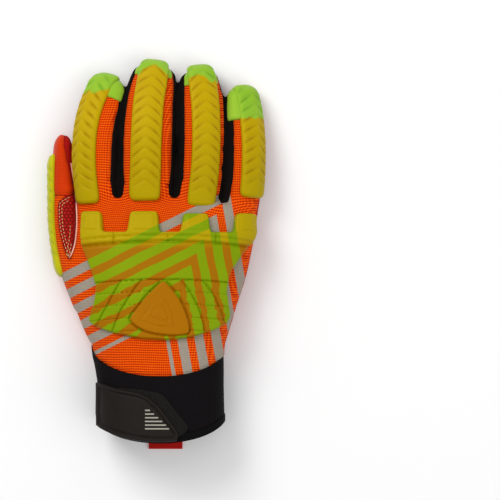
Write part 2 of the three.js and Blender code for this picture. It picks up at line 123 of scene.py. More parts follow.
def smoothShade(obj, angle=None):
    pick(obj)
    if angle is None:
        bpy.ops.object.shade_smooth()
    else:
        bpy.ops.object.shade_smooth_by_angle(angle=math.radians(angle))


def storeValues(obj, name, values):
    layer = obj.data.attributes.new(name, "FLOAT", "POINT")
    layer.data.foreach_set("value", np.asarray(values, dtype=np.float32).ravel())


def treeOf(obj):
    return BVHTree.FromObject(obj, bpy.context.evaluated_depsgraph_get())


# A closed solid through rings of mm points that turn from +X to +Z about +Y
def loftRings(name, rings):
    rings = np.array(rings)
    count, sides = rings.shape[:2]
    points = list((rings.reshape(-1, 3) + shift) * mm)
    faces = []
    for j in range(count - 1):
        for i in range(sides):
            a, b = j * sides + i, j * sides + (i + 1) % sides
            faces.append((a, a + sides, b + sides, b))
    for ring, first, flip in ((rings[0], 0, False), (rings[-1], (count - 1) * sides, True)):
        hub = len(points)
        points.append((ring.mean(axis=0) + shift) * mm)
        for i in range(sides):
            a, b = first + i, first + (i + 1) % sides
            faces.append((hub, b, a) if flip else (hub, a, b))
    return makeObject(name, points, faces)


# Turns every face of a closed mesh outwards
def recalculate(obj):
    pick(obj)
    bpy.ops.object.mode_set(mode="EDIT")
    bpy.ops.mesh.select_all(action="SELECT")
    bpy.ops.mesh.normals_make_consistent(inside=False)
    bpy.ops.object.mode_set(mode="OBJECT")


# A block pulled out of one flat outline of mm points
def pulledBlock(name, points, pull):
    obj = makeObject(name, [tuple((np.array(p) + shift) * mm) for p in points], [tuple(range(len(points)))])
    pick(obj)
    bpy.ops.object.mode_set(mode="EDIT")
    bpy.ops.mesh.select_all(action="SELECT")
    bpy.ops.mesh.extrude_region_move(TRANSFORM_OT_translate={"value": tuple(np.array(pull) * mm)})
    bpy.ops.object.mode_set(mode="OBJECT")
    recalculate(obj)
    return obj


def prism(name, outline, low, high):
    return pulledBlock(name, [(x, y, low) for x, y in outline], (0, 0, high - low))


def spline(rows, s):
    last = len(rows) - 1
    j = min(int(s), last - 1)
    t = s - j
    p0, p1, p2, p3 = (rows[max(0, min(last, k))] for k in (j - 1, j, j + 1, j + 2))
    return 0.5 * (2 * p1 + (p2 - p0) * t + (2 * p0 - 5 * p1 + 4 * p2 - p3) * t * t
                  + (3 * p1 - p0 - 3 * p2 + p3) * t ** 3)


def smoothLine(points, count):
    points = np.array(points, dtype=float)
    return np.array([spline(points, s) for s in np.linspace(0, len(points) - 1, count)])


def roundOutline(points, each=5):
    points = np.array(points, dtype=float)
    ring = []
    for j in range(len(points)):
        four = points[[(j + k) % len(points) for k in (-1, 0, 1, 2)]]
        ring += [spline(four, 1 + k / each) for k in range(each)]
    return np.array(ring)


def power(value, exponent):
    return np.sign(value) * np.abs(value) ** exponent


handForm = {
    "wall": 1.8, "voxel": 1.05, "seamGap": 0.25,
    # roll turns the back of the digit towards +X; rows are x, y, z, half width and half depth
    "digits": {
        "index": {"roll": -12, "tip": 9, "rows": [
            (-36.8, 15, 19, 12, 10.5), (-38, 37, 19.5, 14, 12.8), (-39.8, 58.5, 20.5, 15.2, 12.3),
            (-39.2, 79.5, 19.5, 15.4, 11.8), (-36, 96.5, 15, 15, 11), (-31.6, 109.5, 11.9, 13.8, 10.2)]},
        "middle": {"roll": -3, "tip": 8, "rows": [
            (-4.8, 15, 20.5, 15, 11), (-5.5, 37, 21.5, 19, 13.2), (-4.9, 58.5, 22.5, 19.2, 12.8),
            (-4.4, 79.5, 22, 19.2, 12.4), (-3.2, 100, 17.5, 18.3, 11.8), (-1.2, 114, 13, 16.9, 11),
            (-0.3, 120.5, 11.6, 15.2, 10.6)]},
        "ring": {"roll": 10, "tip": 7.5, "rows": [
            (29, 12, 20, 13, 11), (29.8, 34.5, 20.5, 15.8, 12.8), (32.2, 55, 21.5, 16.6, 12.4),
            (33.2, 76, 21, 16.8, 12), (32.8, 96.5, 16.5, 16.4, 11.4), (31.6, 110.5, 12.4, 15, 10.6),
            (30.7, 117.5, 11, 13.6, 10)]},
        "little": {"roll": 22, "tip": 6.5, "rows": [
            (56, 8, 18, 12, 9.5), (58.6, 31, 17.8, 13.8, 11.4), (60.8, 48.5, 18.7, 13.7, 11.2),
            (61.6, 69, 17.8, 13.5, 10.8), (61.0, 86, 14.2, 12.9, 10.2), (60.0, 98, 11.2, 12, 9.6),
            (59.2, 104.5, 10.2, 10.8, 9.1)]},
        "thumb": {"roll": -82, "tip": 12, "rows": [
            (-40.5, -34.5, 20, 17.5, 16), (-49.5, -15, 18.5, 17, 14.6), (-56, 1.5, 16.8, 15.8, 12.3),
            (-61, 19.5, 15, 14.2, 9.4), (-62.9, 38, 13.9, 13.2, 7.8), (-63.6, 55, 13.2, 12.5, 7.2),
            (-63.5, 68.5, 12.4, 11.2, 6.6)]},
    },
    # y, left edge, right edge, underside and top of the palm
    "palm": [
        (-92, -40, 49, 3.4, 53), (-69, -42.5, 48.5, 2.4, 51), (-57, -47.5, 51.5, 2.0, 49.5),
        (-42, -53.5, 56, 2.0, 47.5), (-25, -58, 61.5, 2.0, 46), (-8, -60, 66, 2.6, 44.5),
        (8, -59, 69, 4, 42.8), (22, -56, 70.5, 5.4, 39.8), (31, -54.5, 69, 6.4, 36), (36, -52, 51, 8.5, 31)],
}
digits = handForm["digits"]
for digit in digits.values():
    digit["rows"] = np.array(digit["rows"], dtype=float)
handForm["palm"] = np.array(handForm["palm"], dtype=float)


def digitFrame(digit, s):
    rows = digit["rows"]
    last = len(rows) - 1
    along = min(s, last)
    here = spline(rows, along)
    tangent = (spline(rows, min(along + 0.05, last)) - spline(rows, max(along - 0.05, 0)))[:3]
    tangent /= np.linalg.norm(tangent)
    side = np.cross(tangent, (0, 0, 1))
    side /= np.linalg.norm(side)
    up = np.cross(side, tangent)
    roll = math.radians(digit["roll"])
    across = side * math.cos(roll) - up * math.sin(roll)
    back = up * math.cos(roll) + side * math.sin(roll)
    turn = max(0.0, s - last) * math.pi / 2
    return here[:3], tangent, across, back, here[3], here[4], turn


# Points on the skin of a digit, at one station and several angles, grown by some mm
def digitRing(digit, s, angles, grow):
    centre, tangent, across, back, w, d, turn = digitFrame(digit, s)
    angles = np.asarray(angles, dtype=float)
    grow = np.broadcast_to(np.asarray(grow, dtype=float), angles.shape)
    a = math.cos(turn) * (w + grow) * power(np.cos(angles), 0.86)
    b = math.cos(turn) * (d + grow) * power(np.sin(angles), 0.86)
    c = math.sin(turn) * (digit["tip"] + grow)
    return centre + c[:, None] * tangent + a[:, None] * across + b[:, None] * back


def digitSolid(name, digit, grow):
    last = len(digit["rows"]) - 1
    angles = np.arange(48) * 2 * math.pi / 48
    stations = list(np.linspace(0, last, last * 8 + 1)) + [last + t for t in np.linspace(0.12, 0.97, 8)]
    return loftRings(name, [digitRing(digit, s, angles, grow) for s in stations])


def blockSolid(name, rows, grow, sides=72):
    rows = np.array(rows, dtype=float)
    angles = np.arange(sides) * 2 * math.pi / sides
    above = np.sin(angles) >= -1e-9
    rings = []
    for s in np.linspace(0, len(rows) - 1, (len(rows) - 1) * 6 + 1):
        y, left, right, low, top = spline(rows, s)
        if s == len(rows) - 1:
            y += max(grow, 0)
        level = low + (top - low) * 0.45
        half = (right - left) / 2 + grow
        x = (left + right) / 2 + half * power(np.cos(angles), np.where(above, 0.84, 0.66))
        reach = np.where(above, top - level + grow, level - low + grow)
        z = level + reach * np.where(above, power(np.sin(angles), 0.84), power(np.sin(angles), 0.5))
        rings.append(np.stack([x, np.full(sides, y), z], axis=1))
    return loftRings(name, rings)


# The whole hand as one smooth body, grown by some mm
def handSolid(name, grow, voxel):
    parts = [blockSolid(name, handForm["palm"], grow)]
    parts += [digitSolid(name + key, digit, grow) for key, digit in digits.items()]
    body = joinAll(parts, name)
    finishWith(body, "REMESH", mode="VOXEL", voxel_size=voxel * mm)
    finishWith(body, "SMOOTH", factor=0.5, iterations=7)
    return body


seams = {
    "thumb": [(-15, -90), (-17, -80), (-27, -66), (-36, -52), (-42, -38), (-48, -22), (-55, -4), (-60, 14),
              (-61.5, 38), (-62.5, 60), (-62, 90)],
    # y and height
    "flank": [(-95, 27), (-55, 25), (-20, 22), (10, 20.5), (36, 18.5), (58, 19), (79, 18), (97, 14),
              (110, 11), (135, 10)],
    # y, left and right
    "web": [(-5, -58.5, -57.5), (2, -62.5, -55.6), (14, -65, -53.9), (28, -65, -54), (37, -61.5, -54.6),
            (60, -62.5, -55.6), (90, -62, -56.2)],
    # where the film on the thumb's back meets the red cloth, from the film's start up
    "film": [(-54.6, 38), (-56, 46), (-58.7, 57), (-61.4, 69), (-64.5, 78), (-66, 90)],
    "filmLow": 13.5,
    "gussetLow": -0.62,
    # the fingers at each gap, how far round the back of each the stretch cloth reaches, the crotch, how the
    # gap leans, and how much further the cloth reaches over the crotch
    "gaps": [
        {"left": "index", "right": "middle", "leftHigh": 0.60, "rightHigh": 0.57,
         "crotch": (-25.0, 36.0), "lean": 0.0, "over": 0.9},
        {"left": "middle", "right": "ring", "leftHigh": 0.44, "rightHigh": 0.60,
         "crotch": (14.2, 36.0), "lean": 0.08, "over": 0.9},
        {"left": "ring", "right": "little", "leftHigh": 0.30, "rightHigh": 0.68,
         "crotch": (46.2, 25.2), "lean": 0.12, "over": 0.0},
    ],
    # the radius at a gap's foot, then heights above the foot with how much further out each side is there
    "crotch": 3.7,
    "crotchSteps": [(10, 1.2), (20, 2.2), (30, 3.4), (40, 4.8), (50, 6.5), (58, 8.5)],
    "crotchTop": 60,  # above this height a gap follows the middles of its fingers
    "cuff": {"y": -65.5, "sag": 21, "x": 4, "half": 47},
    "hem": {"y": -112, "sag": 20, "x": 4.6, "half": 46.5},
    "bindingHeight": 5.5,
}


def underProfile(name, profile, lift):
    line = [(y, z + lift) for y, z in profile] + [(profile[-1][0], -20), (profile[0][0], -20)]
    return pulledBlock(name, [(-130, y, z) for y, z in line], (260, 0, 0))


def endCurve(curve, x):
    return curve["y"] - curve["sag"] * np.sqrt(np.maximum(0.0, 1 - ((x - curve["x"]) / curve["half"]) ** 2))


def aboveCurve(name, curve, up):
    line = []
    for angle in np.linspace(0, math.pi, 49):
        line.append((curve["x"] - curve["half"] * math.cos(angle),
                     curve["y"] + up - curve["sag"] * math.sin(angle)))
    line += [(160, curve["y"] + up), (160, 190), (-160, 190), (-160, curve["y"] + up)]
    return prism(name, line, -30, 90)


def palmRegion(grow):
    inner = [(x - grow, y) for x, y in seams["thumb"]]
    region = prism("palmRegion", inner + [(-48, 150), (130, 150), (130, -90)], -20, 60)
    trim(region, underProfile("under", seams["flank"], grow), "INTERSECT")
    web = [(right + grow, y - grow) for y, left, right in seams["web"]]
    web += [(left - grow, y - grow) for y, left, right in reversed(seams["web"])]
    trim(region, prism("webBlock", web, 8, 60), "UNION")
    film = [(x - grow, y) for x, y in seams["film"]]
    film = [(-85, film[0][1] - grow)] + film + [(-85, 90)]
    return trim(region, prism("filmBlock", film, seams["filmLow"] + grow, 70), "DIFFERENCE")


def gussetBand(digit, side, high, over, grow):
    last = len(digit["rows"]) - 1
    rings = []
    for s in [0.75] + list(np.arange(1, last + 0.01, 0.5)) + [last + 0.9]:
        centre, tangent, across, back, w, d, turn = digitFrame(digit, s)
        centre = centre + tangent * math.sin(turn) * digit["tip"] * 1.2
        near = -side * grow + (side * 0.5 * w if s > last else 0)
        far = side * (w + 2.5 + grow)
        low, top = seams["gussetLow"] * d - grow, (high + over * max(0, 1.6 - s)) * d + grow
        right, left = max(near, far), min(near, far)
        rings.append([centre + a * across + b * back for a, b in
                      ((right, low), (right, top), (left, top), (left, low))])
    return loftRings("band", rings)


def crotchOutline(leftRows, rightRows, crotch, lean, grow):
    r = seams["crotch"] + grow
    x0, y0 = crotch[0], crotch[1] + seams["crotch"]
    line = [(x0 + r * math.sin(a), y0 - r * math.cos(a)) for a in np.linspace(-math.pi / 2, math.pi / 2, 15)]
    top = y0 + seams["crotchTop"]
    right = [(x0 + lean * up + r + wide, y0 + up) for up, wide in seams["crotchSteps"]]
    left = [(x0 + lean * up - r - wide, y0 + up) for up, wide in seams["crotchSteps"]]
    right += [(max(right[-1][0], row[0]) + grow, row[1]) for row in rightRows if row[1] > top]
    left += [(min(left[-1][0], row[0]) - grow, row[1]) for row in leftRows if row[1] > top]
    return line + right + [(right[-1][0], 150), (left[-1][0], 150)] + left[::-1]


def gussetRegion(grow):
    whole = None
    for place in seams["gaps"]:
        left, right = digits[place["left"]], digits[place["right"]]
        band = gussetBand(left, 1, place["leftHigh"], place["over"], grow)
        trim(band, gussetBand(right, -1, place["rightHigh"], place["over"], grow), "UNION")
        outline = crotchOutline(left["rows"], right["rows"], place["crotch"], place["lean"], grow)
        trim(band, prism("gap", outline, -20, 60), "INTERSECT")
        whole = band if whole is None else trim(whole, band, "UNION")
    return whole


cloth = {
    "seamDrop": 0.75, "seamReach": 1.7,  # the panels' edges roll down to the seam
    "wrinkle": 0.34, "wrinkleSize": 11.0,
    # creases across the palm side of the fingers: digit, station, depth and width
    "creases": [("index", 1.95, 1.7, 2.2), ("index", 2.4, 1.1, 1.8), ("middle", 1.85, 1.8, 2.3),
                ("middle", 2.3, 1.2, 1.8), ("ring", 1.9, 1.8, 2.3), ("ring", 2.35, 1.1, 1.8),
                ("little", 2.1, 1.4, 1.9), ("index", 3.3, 0.8, 1.8), ("middle", 3.4, 0.8, 1.9),
                ("ring", 3.4, 0.8, 1.9), ("thumb", 4.0, 1.2, 2.0)],
    # folds in the red cloth by the thumb's crotch: x, y, direction in degrees, length, depth
    "folds": [(-45, 2, 62, 10, 1.7), (-50, -2, 78, 9, 1.5), (-41, -9, 48, 9, 1.2), (-52, -14, 84, 10, 1.2),
              (-47, -22, 70, 9, 0.9)],
}

outerSkin = handSolid("outerSkin", 0, handForm["voxel"])
innerSkin = handSolid("innerSkin", -handForm["wall"], 2.0)
wristRows = [(-100, -40, 49, 3.4, 53)] + [tuple(row) for row in handForm["palm"][:2]]
wristOpening = blockSolid("wristOpening", wristRows, -handForm["wall"])
skinTree = treeOf(outerSkin)
print("hand form made", len(outerSkin.data.vertices))

shell = copyOf(outerSkin, "shell")
trim(innerSkin, wristOpening, "UNION")
trim(shell, innerSkin, "DIFFERENCE")
trim(shell, aboveCurve("cuffLine", seams["cuff"], 0.15), "INTERSECT")

gap = handForm["seamGap"]
gussetWide, gussetTight = gussetRegion(gap), gussetRegion(0)
palmWide, palmTight = palmRegion(gap), palmRegion(0)
gussets = copyOf(shell, "stretch_gussets")
cut(gussets, gussetTight, "INTERSECT")
palmPanel = copyOf(shell, "palm_cloth")
cut(palmPanel, palmTight, "INTERSECT")
cut(palmPanel, gussetWide, "DIFFERENCE")
backPanel = copyOf(shell, "back_cloth")
cut(backPanel, palmWide, "DIFFERENCE")
cut(backPanel, gussetWide, "DIFFERENCE")
filmStart = seams["film"][0][1]
thumbCap = copyOf(backPanel, "thumb_film")
for panel, low, how in ((thumbCap, filmStart, "INTERSECT"), (backPanel, filmStart - gap, "DIFFERENCE")):
    trim(panel, prism("filmPlace", [(-80, low), (-54, low), (-54, 95), (-80, 95)], -20, 60), how)
drop(shell, gussetWide, gussetTight, palmWide, palmTight)
print("panels cut")


# Drops the small crumbs that a cut leaves
def keepBiggest(obj):
    mesh = obj.data
    parent = list(range(len(mesh.vertices)))

    def root(i):
        while parent[i] != i:
            parent[i] = parent[parent[i]]
            i = parent[i]
        return i

    for edge in mesh.edges:
        a, b = (root(i) for i in edge.vertices)
        if a != b:
            parent[a] = b
    roots = np.array([root(i) for i in range(len(parent))])
    names, counts = np.unique(roots, return_counts=True)
    small = set(names[counts < max(counts) * 0.02])
    if not small:
        return
    pick(obj)
    bpy.ops.object.mode_set(mode="EDIT")
    bpy.ops.mesh.select_all(action="DESELECT")
    bpy.ops.object.mode_set(mode="OBJECT")
    for vertex, home in zip(mesh.vertices, roots):
        vertex.select = home in small
    bpy.ops.object.mode_set(mode="EDIT")
    bpy.ops.mesh.select_mode(type="VERT")
    bpy.ops.mesh.delete(type="VERT")
    bpy.ops.object.mode_set(mode="OBJECT")


# How near each vertex on the skin is to the rim of its panel, 1 on the rim and 0 far away
def rimNearness(obj, tree, reach):
    points = pointsOf(obj)
    found = [tree.find_nearest(Vector(p)) for p in points]
    outer = np.array([f[3] < onSkin * mm for f in found])
    normals = np.array([tuple(f[1]) for f in found])
    rim = {i for face in obj.data.polygons for i in face.vertices
           if outer[i] and np.array(face.normal) @ normals[i] < 0.45}
    finder = kdtree.KDTree(len(rim))
    for k, i in enumerate(rim):
        finder.insert(points[i], k)
    finder.balance()
    near = np.zeros(len(points))
    for i in np.nonzero(outer)[0]:
        near[i] = math.exp(-(finder.find(points[i])[2] / mm / reach) ** 2)
    return points, normals, outer, near


creaseLines = []
for key, s, depth, width in cloth["creases"]:
    centre, tangent, across, back, w, d, turn = digitFrame(digits[key], s)
    creaseLines.append((centre, tangent, back, across, w, d, depth, width))


# How far the cloth stands in or out at a point, in mm
def clothRelief(p, n, amount):
    q = Vector(p) / cloth["wrinkleSize"]
    value = amount * noise.noise(q) + 0.45 * amount * noise.noise(q * 2.7 + Vector((5, 2, 9)))
    for centre, tangent, back, across, w, d, depth, width in creaseLines:
        r = p - centre
        if abs(r @ across) > w + 1 or abs(r @ back) > d + 2:
            continue
        if n @ back > -0.15:
            continue
        along = r @ tangent + 1.6 * math.sin((r @ across) * 0.21 + centre[0])
        value -= depth * math.exp(-(along / width) ** 2) * min(1.0, -(n @ back) * 1.6)
        value += 0.45 * depth * math.exp(-((along - 2.2 * width) / (1.3 * width)) ** 2)
    if n[2] < -0.2:
        for x, y, angle, length, depth in cloth["folds"]:
            c, s = math.cos(math.radians(angle)), math.sin(math.radians(angle))
            u, v = (p[0] - x) * c + (p[1] - y) * s, -(p[0] - x) * s + (p[1] - y) * c
            value -= depth * math.exp(-(v / 1.5) ** 2 - (u / length) ** 2)
            value += 0.6 * depth * math.exp(-((v - 3) / 1.8) ** 2 - (u / length) ** 2)
    return value


def dressPanel(obj, amount):
    keepBiggest(obj)
    points, normals, outer, near = rimNearness(obj, skinTree, cloth["seamReach"])
    for i in np.nonzero(outer)[0]:
        relief = clothRelief(points[i] / mm - shift, normals[i], amount) * (1 - near[i])
        points[i] = points[i] + normals[i] * mm * (relief - cloth["seamDrop"] * near[i])
    putPoints(obj, points)
    # The nearness to the seam also darkens the cloth's colour there, as painted shade
    storeValues(obj, "seam", near)
    smoothShade(obj, 50)


for panel, amount in ((backPanel, 0.16), (palmPanel, cloth["wrinkle"]), (gussets, 0.3), (thumbCap, 0.14)):
    dressPanel(panel, amount)
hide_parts("back_panel")
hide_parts("palm_panel")
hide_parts("thumb_cap")
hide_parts("gusset_index_middle", "gusset_middle_ring", "gusset_ring_little")
print("cloth dressed")


fingerGuards = {
    "height": 4.2, "base": -0.35, "pitch": 7.4, "ribDepth": 1.05, "slope": 0.95,
    # turn and half width of the strip, where it starts and ends, where the green tip begins, how much
    # further it begins in the middle, how clear the ribs are there, the lime tip over it, and the taper of
    # its ends
    "index": {"turn": -26, "half": 8.9, "from": 31.5, "to": 999, "green": 109, "bulge": 1.5, "mid": 0.15,
              "hood": 1.22, "hoodTurn": -13, "hoodHeight": 2.0, "taper": 3.2},
    "middle": {"turn": 0, "half": 9.6, "from": 33.5, "to": 999, "green": 121.5, "bulge": 6, "mid": 0.35,
               "hood": 0.98, "hoodTurn": 0, "hoodHeight": 1.4, "taper": 3.2},
    "ring": {"turn": 3, "half": 8.9, "from": 29.5, "to": 999, "green": 116, "bulge": 5, "mid": 0.3,
             "hood": 0.95, "hoodTurn": 1.5, "hoodHeight": 1.4, "taper": 3.2},
    "little": {"turn": 18, "half": 8.9, "from": 35.5, "to": 999, "green": 91, "bulge": 0.5, "mid": 0.2,
               "hood": 1.3, "hoodTurn": 3, "hoodHeight": 2.7, "taper": 3.2},
    "thumb": {"turn": -9, "half": 8.3, "from": -19, "to": 66, "green": 999, "bulge": 0, "mid": 1.4, "hood": 0,
              "taper": 9.0},
}


def rise(value, at, width):
    t = np.clip((value - at) / width + 0.5, 0, 1)
    return t * t * (3 - 2 * t)


def bell(value, width):
    return np.exp(-(value / width) ** 2)


def dome(value, reach):
    t = np.clip(value / reach, 0, 1)
    return np.sqrt(1 - (1 - t) ** 2)


# A strip along the back of a digit, from one Y to another; arcOf(w) gives how far round the digit it
# reaches, and shape(along, total, spread, half) its height and how deep its grooves are
def backStrip(name, digit, turn, start, end, arcOf, endReach, shape):
    last = len(digit["rows"]) - 1
    middle = math.pi / 2 - math.radians(turn)
    fine = np.linspace(0, last + 0.82, 600)
    line = np.array([digitRing(digit, s, [middle], 2.0)[0] for s in fine])
    inside = (line[:, 1] > start) & (line[:, 1] < end) | (fine > last) & (end > 500)
    fine, line = fine[inside], line[inside]
    length = np.concatenate([[0], np.cumsum(np.linalg.norm(np.diff(line, axis=0), axis=1))])
    total = length[-1]
    spread = np.sin(np.linspace(math.pi / 2, -math.pi / 2, 47))
    crown = (1 - np.abs(spread) ** 5) ** 0.45
    under = np.linspace(-1, 1, 9)[1:-1]
    rings, grooves = [], []
    for t in np.linspace(0, 1, int(total / 0.5)):
        along = total * ((0.5 - 0.5 * math.cos(math.pi * t)) * 0.25 + t * 0.75)
        s = np.interp(along, length, fine)
        w = spline(digit["rows"], min(s, last))[3] * math.cos(max(0, s - last) * math.pi / 2)
        gapToEnd = min(along, total - along)
        arc = min(1.3, arcOf(w)) * (1 - endReach[0] + endReach[0] * dome(gapToEnd, endReach[1]))
        height, groove = shape(along, total, spread, w * arc)
        top = height * (0.25 + 0.75 * dome(gapToEnd, endReach[2])) * crown - groove * crown ** 3
        ring = digitRing(digit, s, middle - spread * arc, fingerGuards["base"] + np.maximum(top, 0.0))
        low = digitRing(digit, s, middle - under * arc * 0.97, fingerGuards["base"] - 0.15)
        rings.append(np.concatenate([ring, low]))
        grooves.append(np.concatenate([groove * crown, np.zeros(len(under))]))
    obj = loftRings(name, rings)
    # The groove depth is kept for the rubber's material, which darkens the grooves as painted shade
    storeValues(obj, "groove", list(np.concatenate(grooves)) + [0.0, 0.0])
    recalculate(obj)
    smoothShade(obj, 60)
    return obj


def ribbed(guard):
    def shape(along, total, spread, half):
        phase = (along + fingerGuards["slope"] * np.abs(spread) * half) / fingerGuards["pitch"]
        saw = phase - np.floor(phase)
        dip = np.exp(-(np.minimum(saw * 1.6, 1 - saw) / 0.15) ** 2) + 0.5 * (1 - saw)
        sides = np.clip(1.25 - np.abs(np.abs(spread) - 0.52) * 2.6, 0, 1) ** 1.2
        arm = guard["mid"] + (1 - guard["mid"]) * sides
        fade = rise(along, 11, 10) * rise(total - along, 7, 10)
        return fingerGuards["height"], fingerGuards["ribDepth"] * dip * arm * fade
    return shape


def greenEdge(obj, digit, guard):
    points = pointsOf(obj) / mm - shift
    across = points[:, 0] - np.interp(points[:, 1], digit["rows"][:, 1], digit["rows"][:, 0])
    bulge = guard["bulge"] * (1 - np.clip(np.abs(across) / guard["half"], 0, 1) ** 1.5)
    storeValues(obj, "pastCloth", points[:, 1] - guard["green"] - bulge)


guardPieces, hoods = {}, []
for key, digit in digits.items():
    guard = fingerGuards[key]
    strip = backStrip("guard_rubber_" + key, digit, guard["turn"], guard["from"], guard["to"],
                      lambda w, g=guard: g["half"] / max(w, 1), (0.34, 6.0, guard["taper"]), ribbed(guard))
    greenEdge(strip, digit, guard)
    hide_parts("guard_" + key)
    guardPieces[key] = strip
    if guard["hood"]:
        hood = backStrip("hood", digit, guard["hoodTurn"], guard["green"] - 0.6, 999,
                         lambda w, g=guard: g["hood"], (0.06, 3.0, 3.2),
                         lambda along, total, spread, half, g=guard: (g["hoodHeight"], 0 * spread))
        hoods.append(hood)
tipHoods = joinAll(hoods, "lime_tips")
storeValues(tipHoods, "pastCloth", np.full(len(tipHoods.data.vertices), 9.0))
print("finger guards made")


# Distance in mm from points to a line of points
def lineDistance(x, y, line, closed=False):
    line = np.array(line, dtype=float)
    if closed:
        line = np.vstack([line, line[:1]])
    best = np.full(np.shape(x), 99.0)
    for (x1, y1), (x2, y2) in zip(line, line[1:]):
        dx, dy = x2 - x1, y2 - y1
        t = np.clip(((x - x1) * dx + (y - y1) * dy) / (dx * dx + dy * dy + 1e-12), 0, 1)
        best = np.minimum(best, np.hypot(x - x1 - t * dx, y - y1 - t * dy))
    return best


def insideOutline(x, y, outline):
    inside = np.zeros(np.shape(x), dtype=bool)
    outline = np.array(outline, dtype=float)
    for (x1, y1), (x2, y2) in zip(outline, np.roll(outline, -1, axis=0)):
        crosses = (y1 > y) != (y2 > y)
        inside ^= crosses & (x < (x2 - x1) * (y - y1) / (y2 - y1 + 1e-12) + x1)
    return inside


def edgeDistance(x, y, outline):
    away = lineDistance(x, y, outline, True)
    return np.where(insideOutline(x, y, outline), away, -away)


# The height and the normal of a surface under a patch of plan, smoothed, as a function of x and y
def groundUnder(tree, low, high, settle, spacing=1.0):
    xs, ys = np.arange(low[0] - 3, high[0] + 4, spacing), np.arange(low[1] - 3, high[1] + 4, spacing)
    z = np.full((len(ys), len(xs)), np.nan)
    for j, y in enumerate(ys):
        for i, x in enumerate(xs):
            start = Vector(((x + shift[0]) * mm, (y + shift[1]) * mm, rayStart))
            hit = tree.ray_cast(start, Vector((0, 0, -1)))[0]
            if hit:
                z[j, i] = hit[2] / mm

    def around(grid):
        wide = np.pad(grid, 1, mode="edge")
        return np.stack([wide[:-2, 1:-1], wide[2:, 1:-1], wide[1:-1, :-2], wide[1:-1, 2:]])

    for _ in range(60):
        near = around(z)
        counts = (~np.isnan(near)).sum(axis=0)
        z = np.where(np.isnan(z) & (counts > 0), np.nansum(near, axis=0) / np.maximum(counts, 1), z)
    for _ in range(settle):
        z = z * 0.4 + around(z).sum(axis=0) * 0.15
    slopeY, slopeX = np.gradient(z, spacing)

    def sample(grid, x, y):
        i = np.clip((x - xs[0]) / spacing, 0, len(xs) - 1.001)
        j = np.clip((y - ys[0]) / spacing, 0, len(ys) - 1.001)
        i0, j0 = i.astype(int), j.astype(int)
        fi, fj = i - i0, j - j0
        return ((grid[j0, i0] * (1 - fi) + grid[j0, i0 + 1] * fi) * (1 - fj)
                + (grid[j0 + 1, i0] * (1 - fi) + grid[j0 + 1, i0 + 1] * fi) * fj)

    def ground(x, y):
        normal = np.stack([-sample(slopeX, x, y), -sample(slopeY, x, y), np.ones(np.shape(x))], axis=-1)
        return sample(z, x, y), normal / np.linalg.norm(normal, axis=-1)[..., None]

    return ground


# place(u, v) gives x and y; height(x, y, d) the mm above the ground, d mm in from the edge
def reliefSheet(name, columns, rows, place, height, ground, base=0.05, cluster=0.35):
    def spread(n):
        t = np.linspace(0, 1, n + 1)
        return t * (1 - cluster) + (0.5 - 0.5 * np.cos(np.pi * t)) * cluster

    u, v = np.meshgrid(spread(columns), spread(rows))
    x, y = place(u, v)
    z, normal = ground(x, y)
    line = np.stack([x, y], axis=-1)
    edge = np.concatenate([line[0], line[1:, -1], line[-1, -2::-1], line[-2:0:-1, 0]])
    inward = lineDistance(x, y, edge, True)
    grid = np.dstack([x, y, z])
    top = grid + normal * height(x, y, inward)[..., None]
    bottom = grid + normal * base
    w = columns + 1
    n = w * (rows + 1)
    points = np.concatenate([top.reshape(-1, 3), bottom.reshape(-1, 3)])
    faces = []
    for j in range(rows):
        for a in range(j * w, j * w + columns):
            faces.append((a, a + 1, a + w + 1, a + w))
            faces.append((n + a, n + a + w, n + a + w + 1, n + a + 1))
    loop = list(range(w)) + [j * w + w - 1 for j in range(1, rows + 1)]
    loop += [rows * w + i for i in range(w - 2, -1, -1)] + [j * w for j in range(rows - 1, 0, -1)]
    for k, a in enumerate(loop):
        b = loop[(k + 1) % len(loop)]
        faces.append((a, n + a, n + b, b))
    obj = makeObject(name, (points + shift) * mm, faces)
    recalculate(obj)
    smoothShade(obj, 55)
    return obj


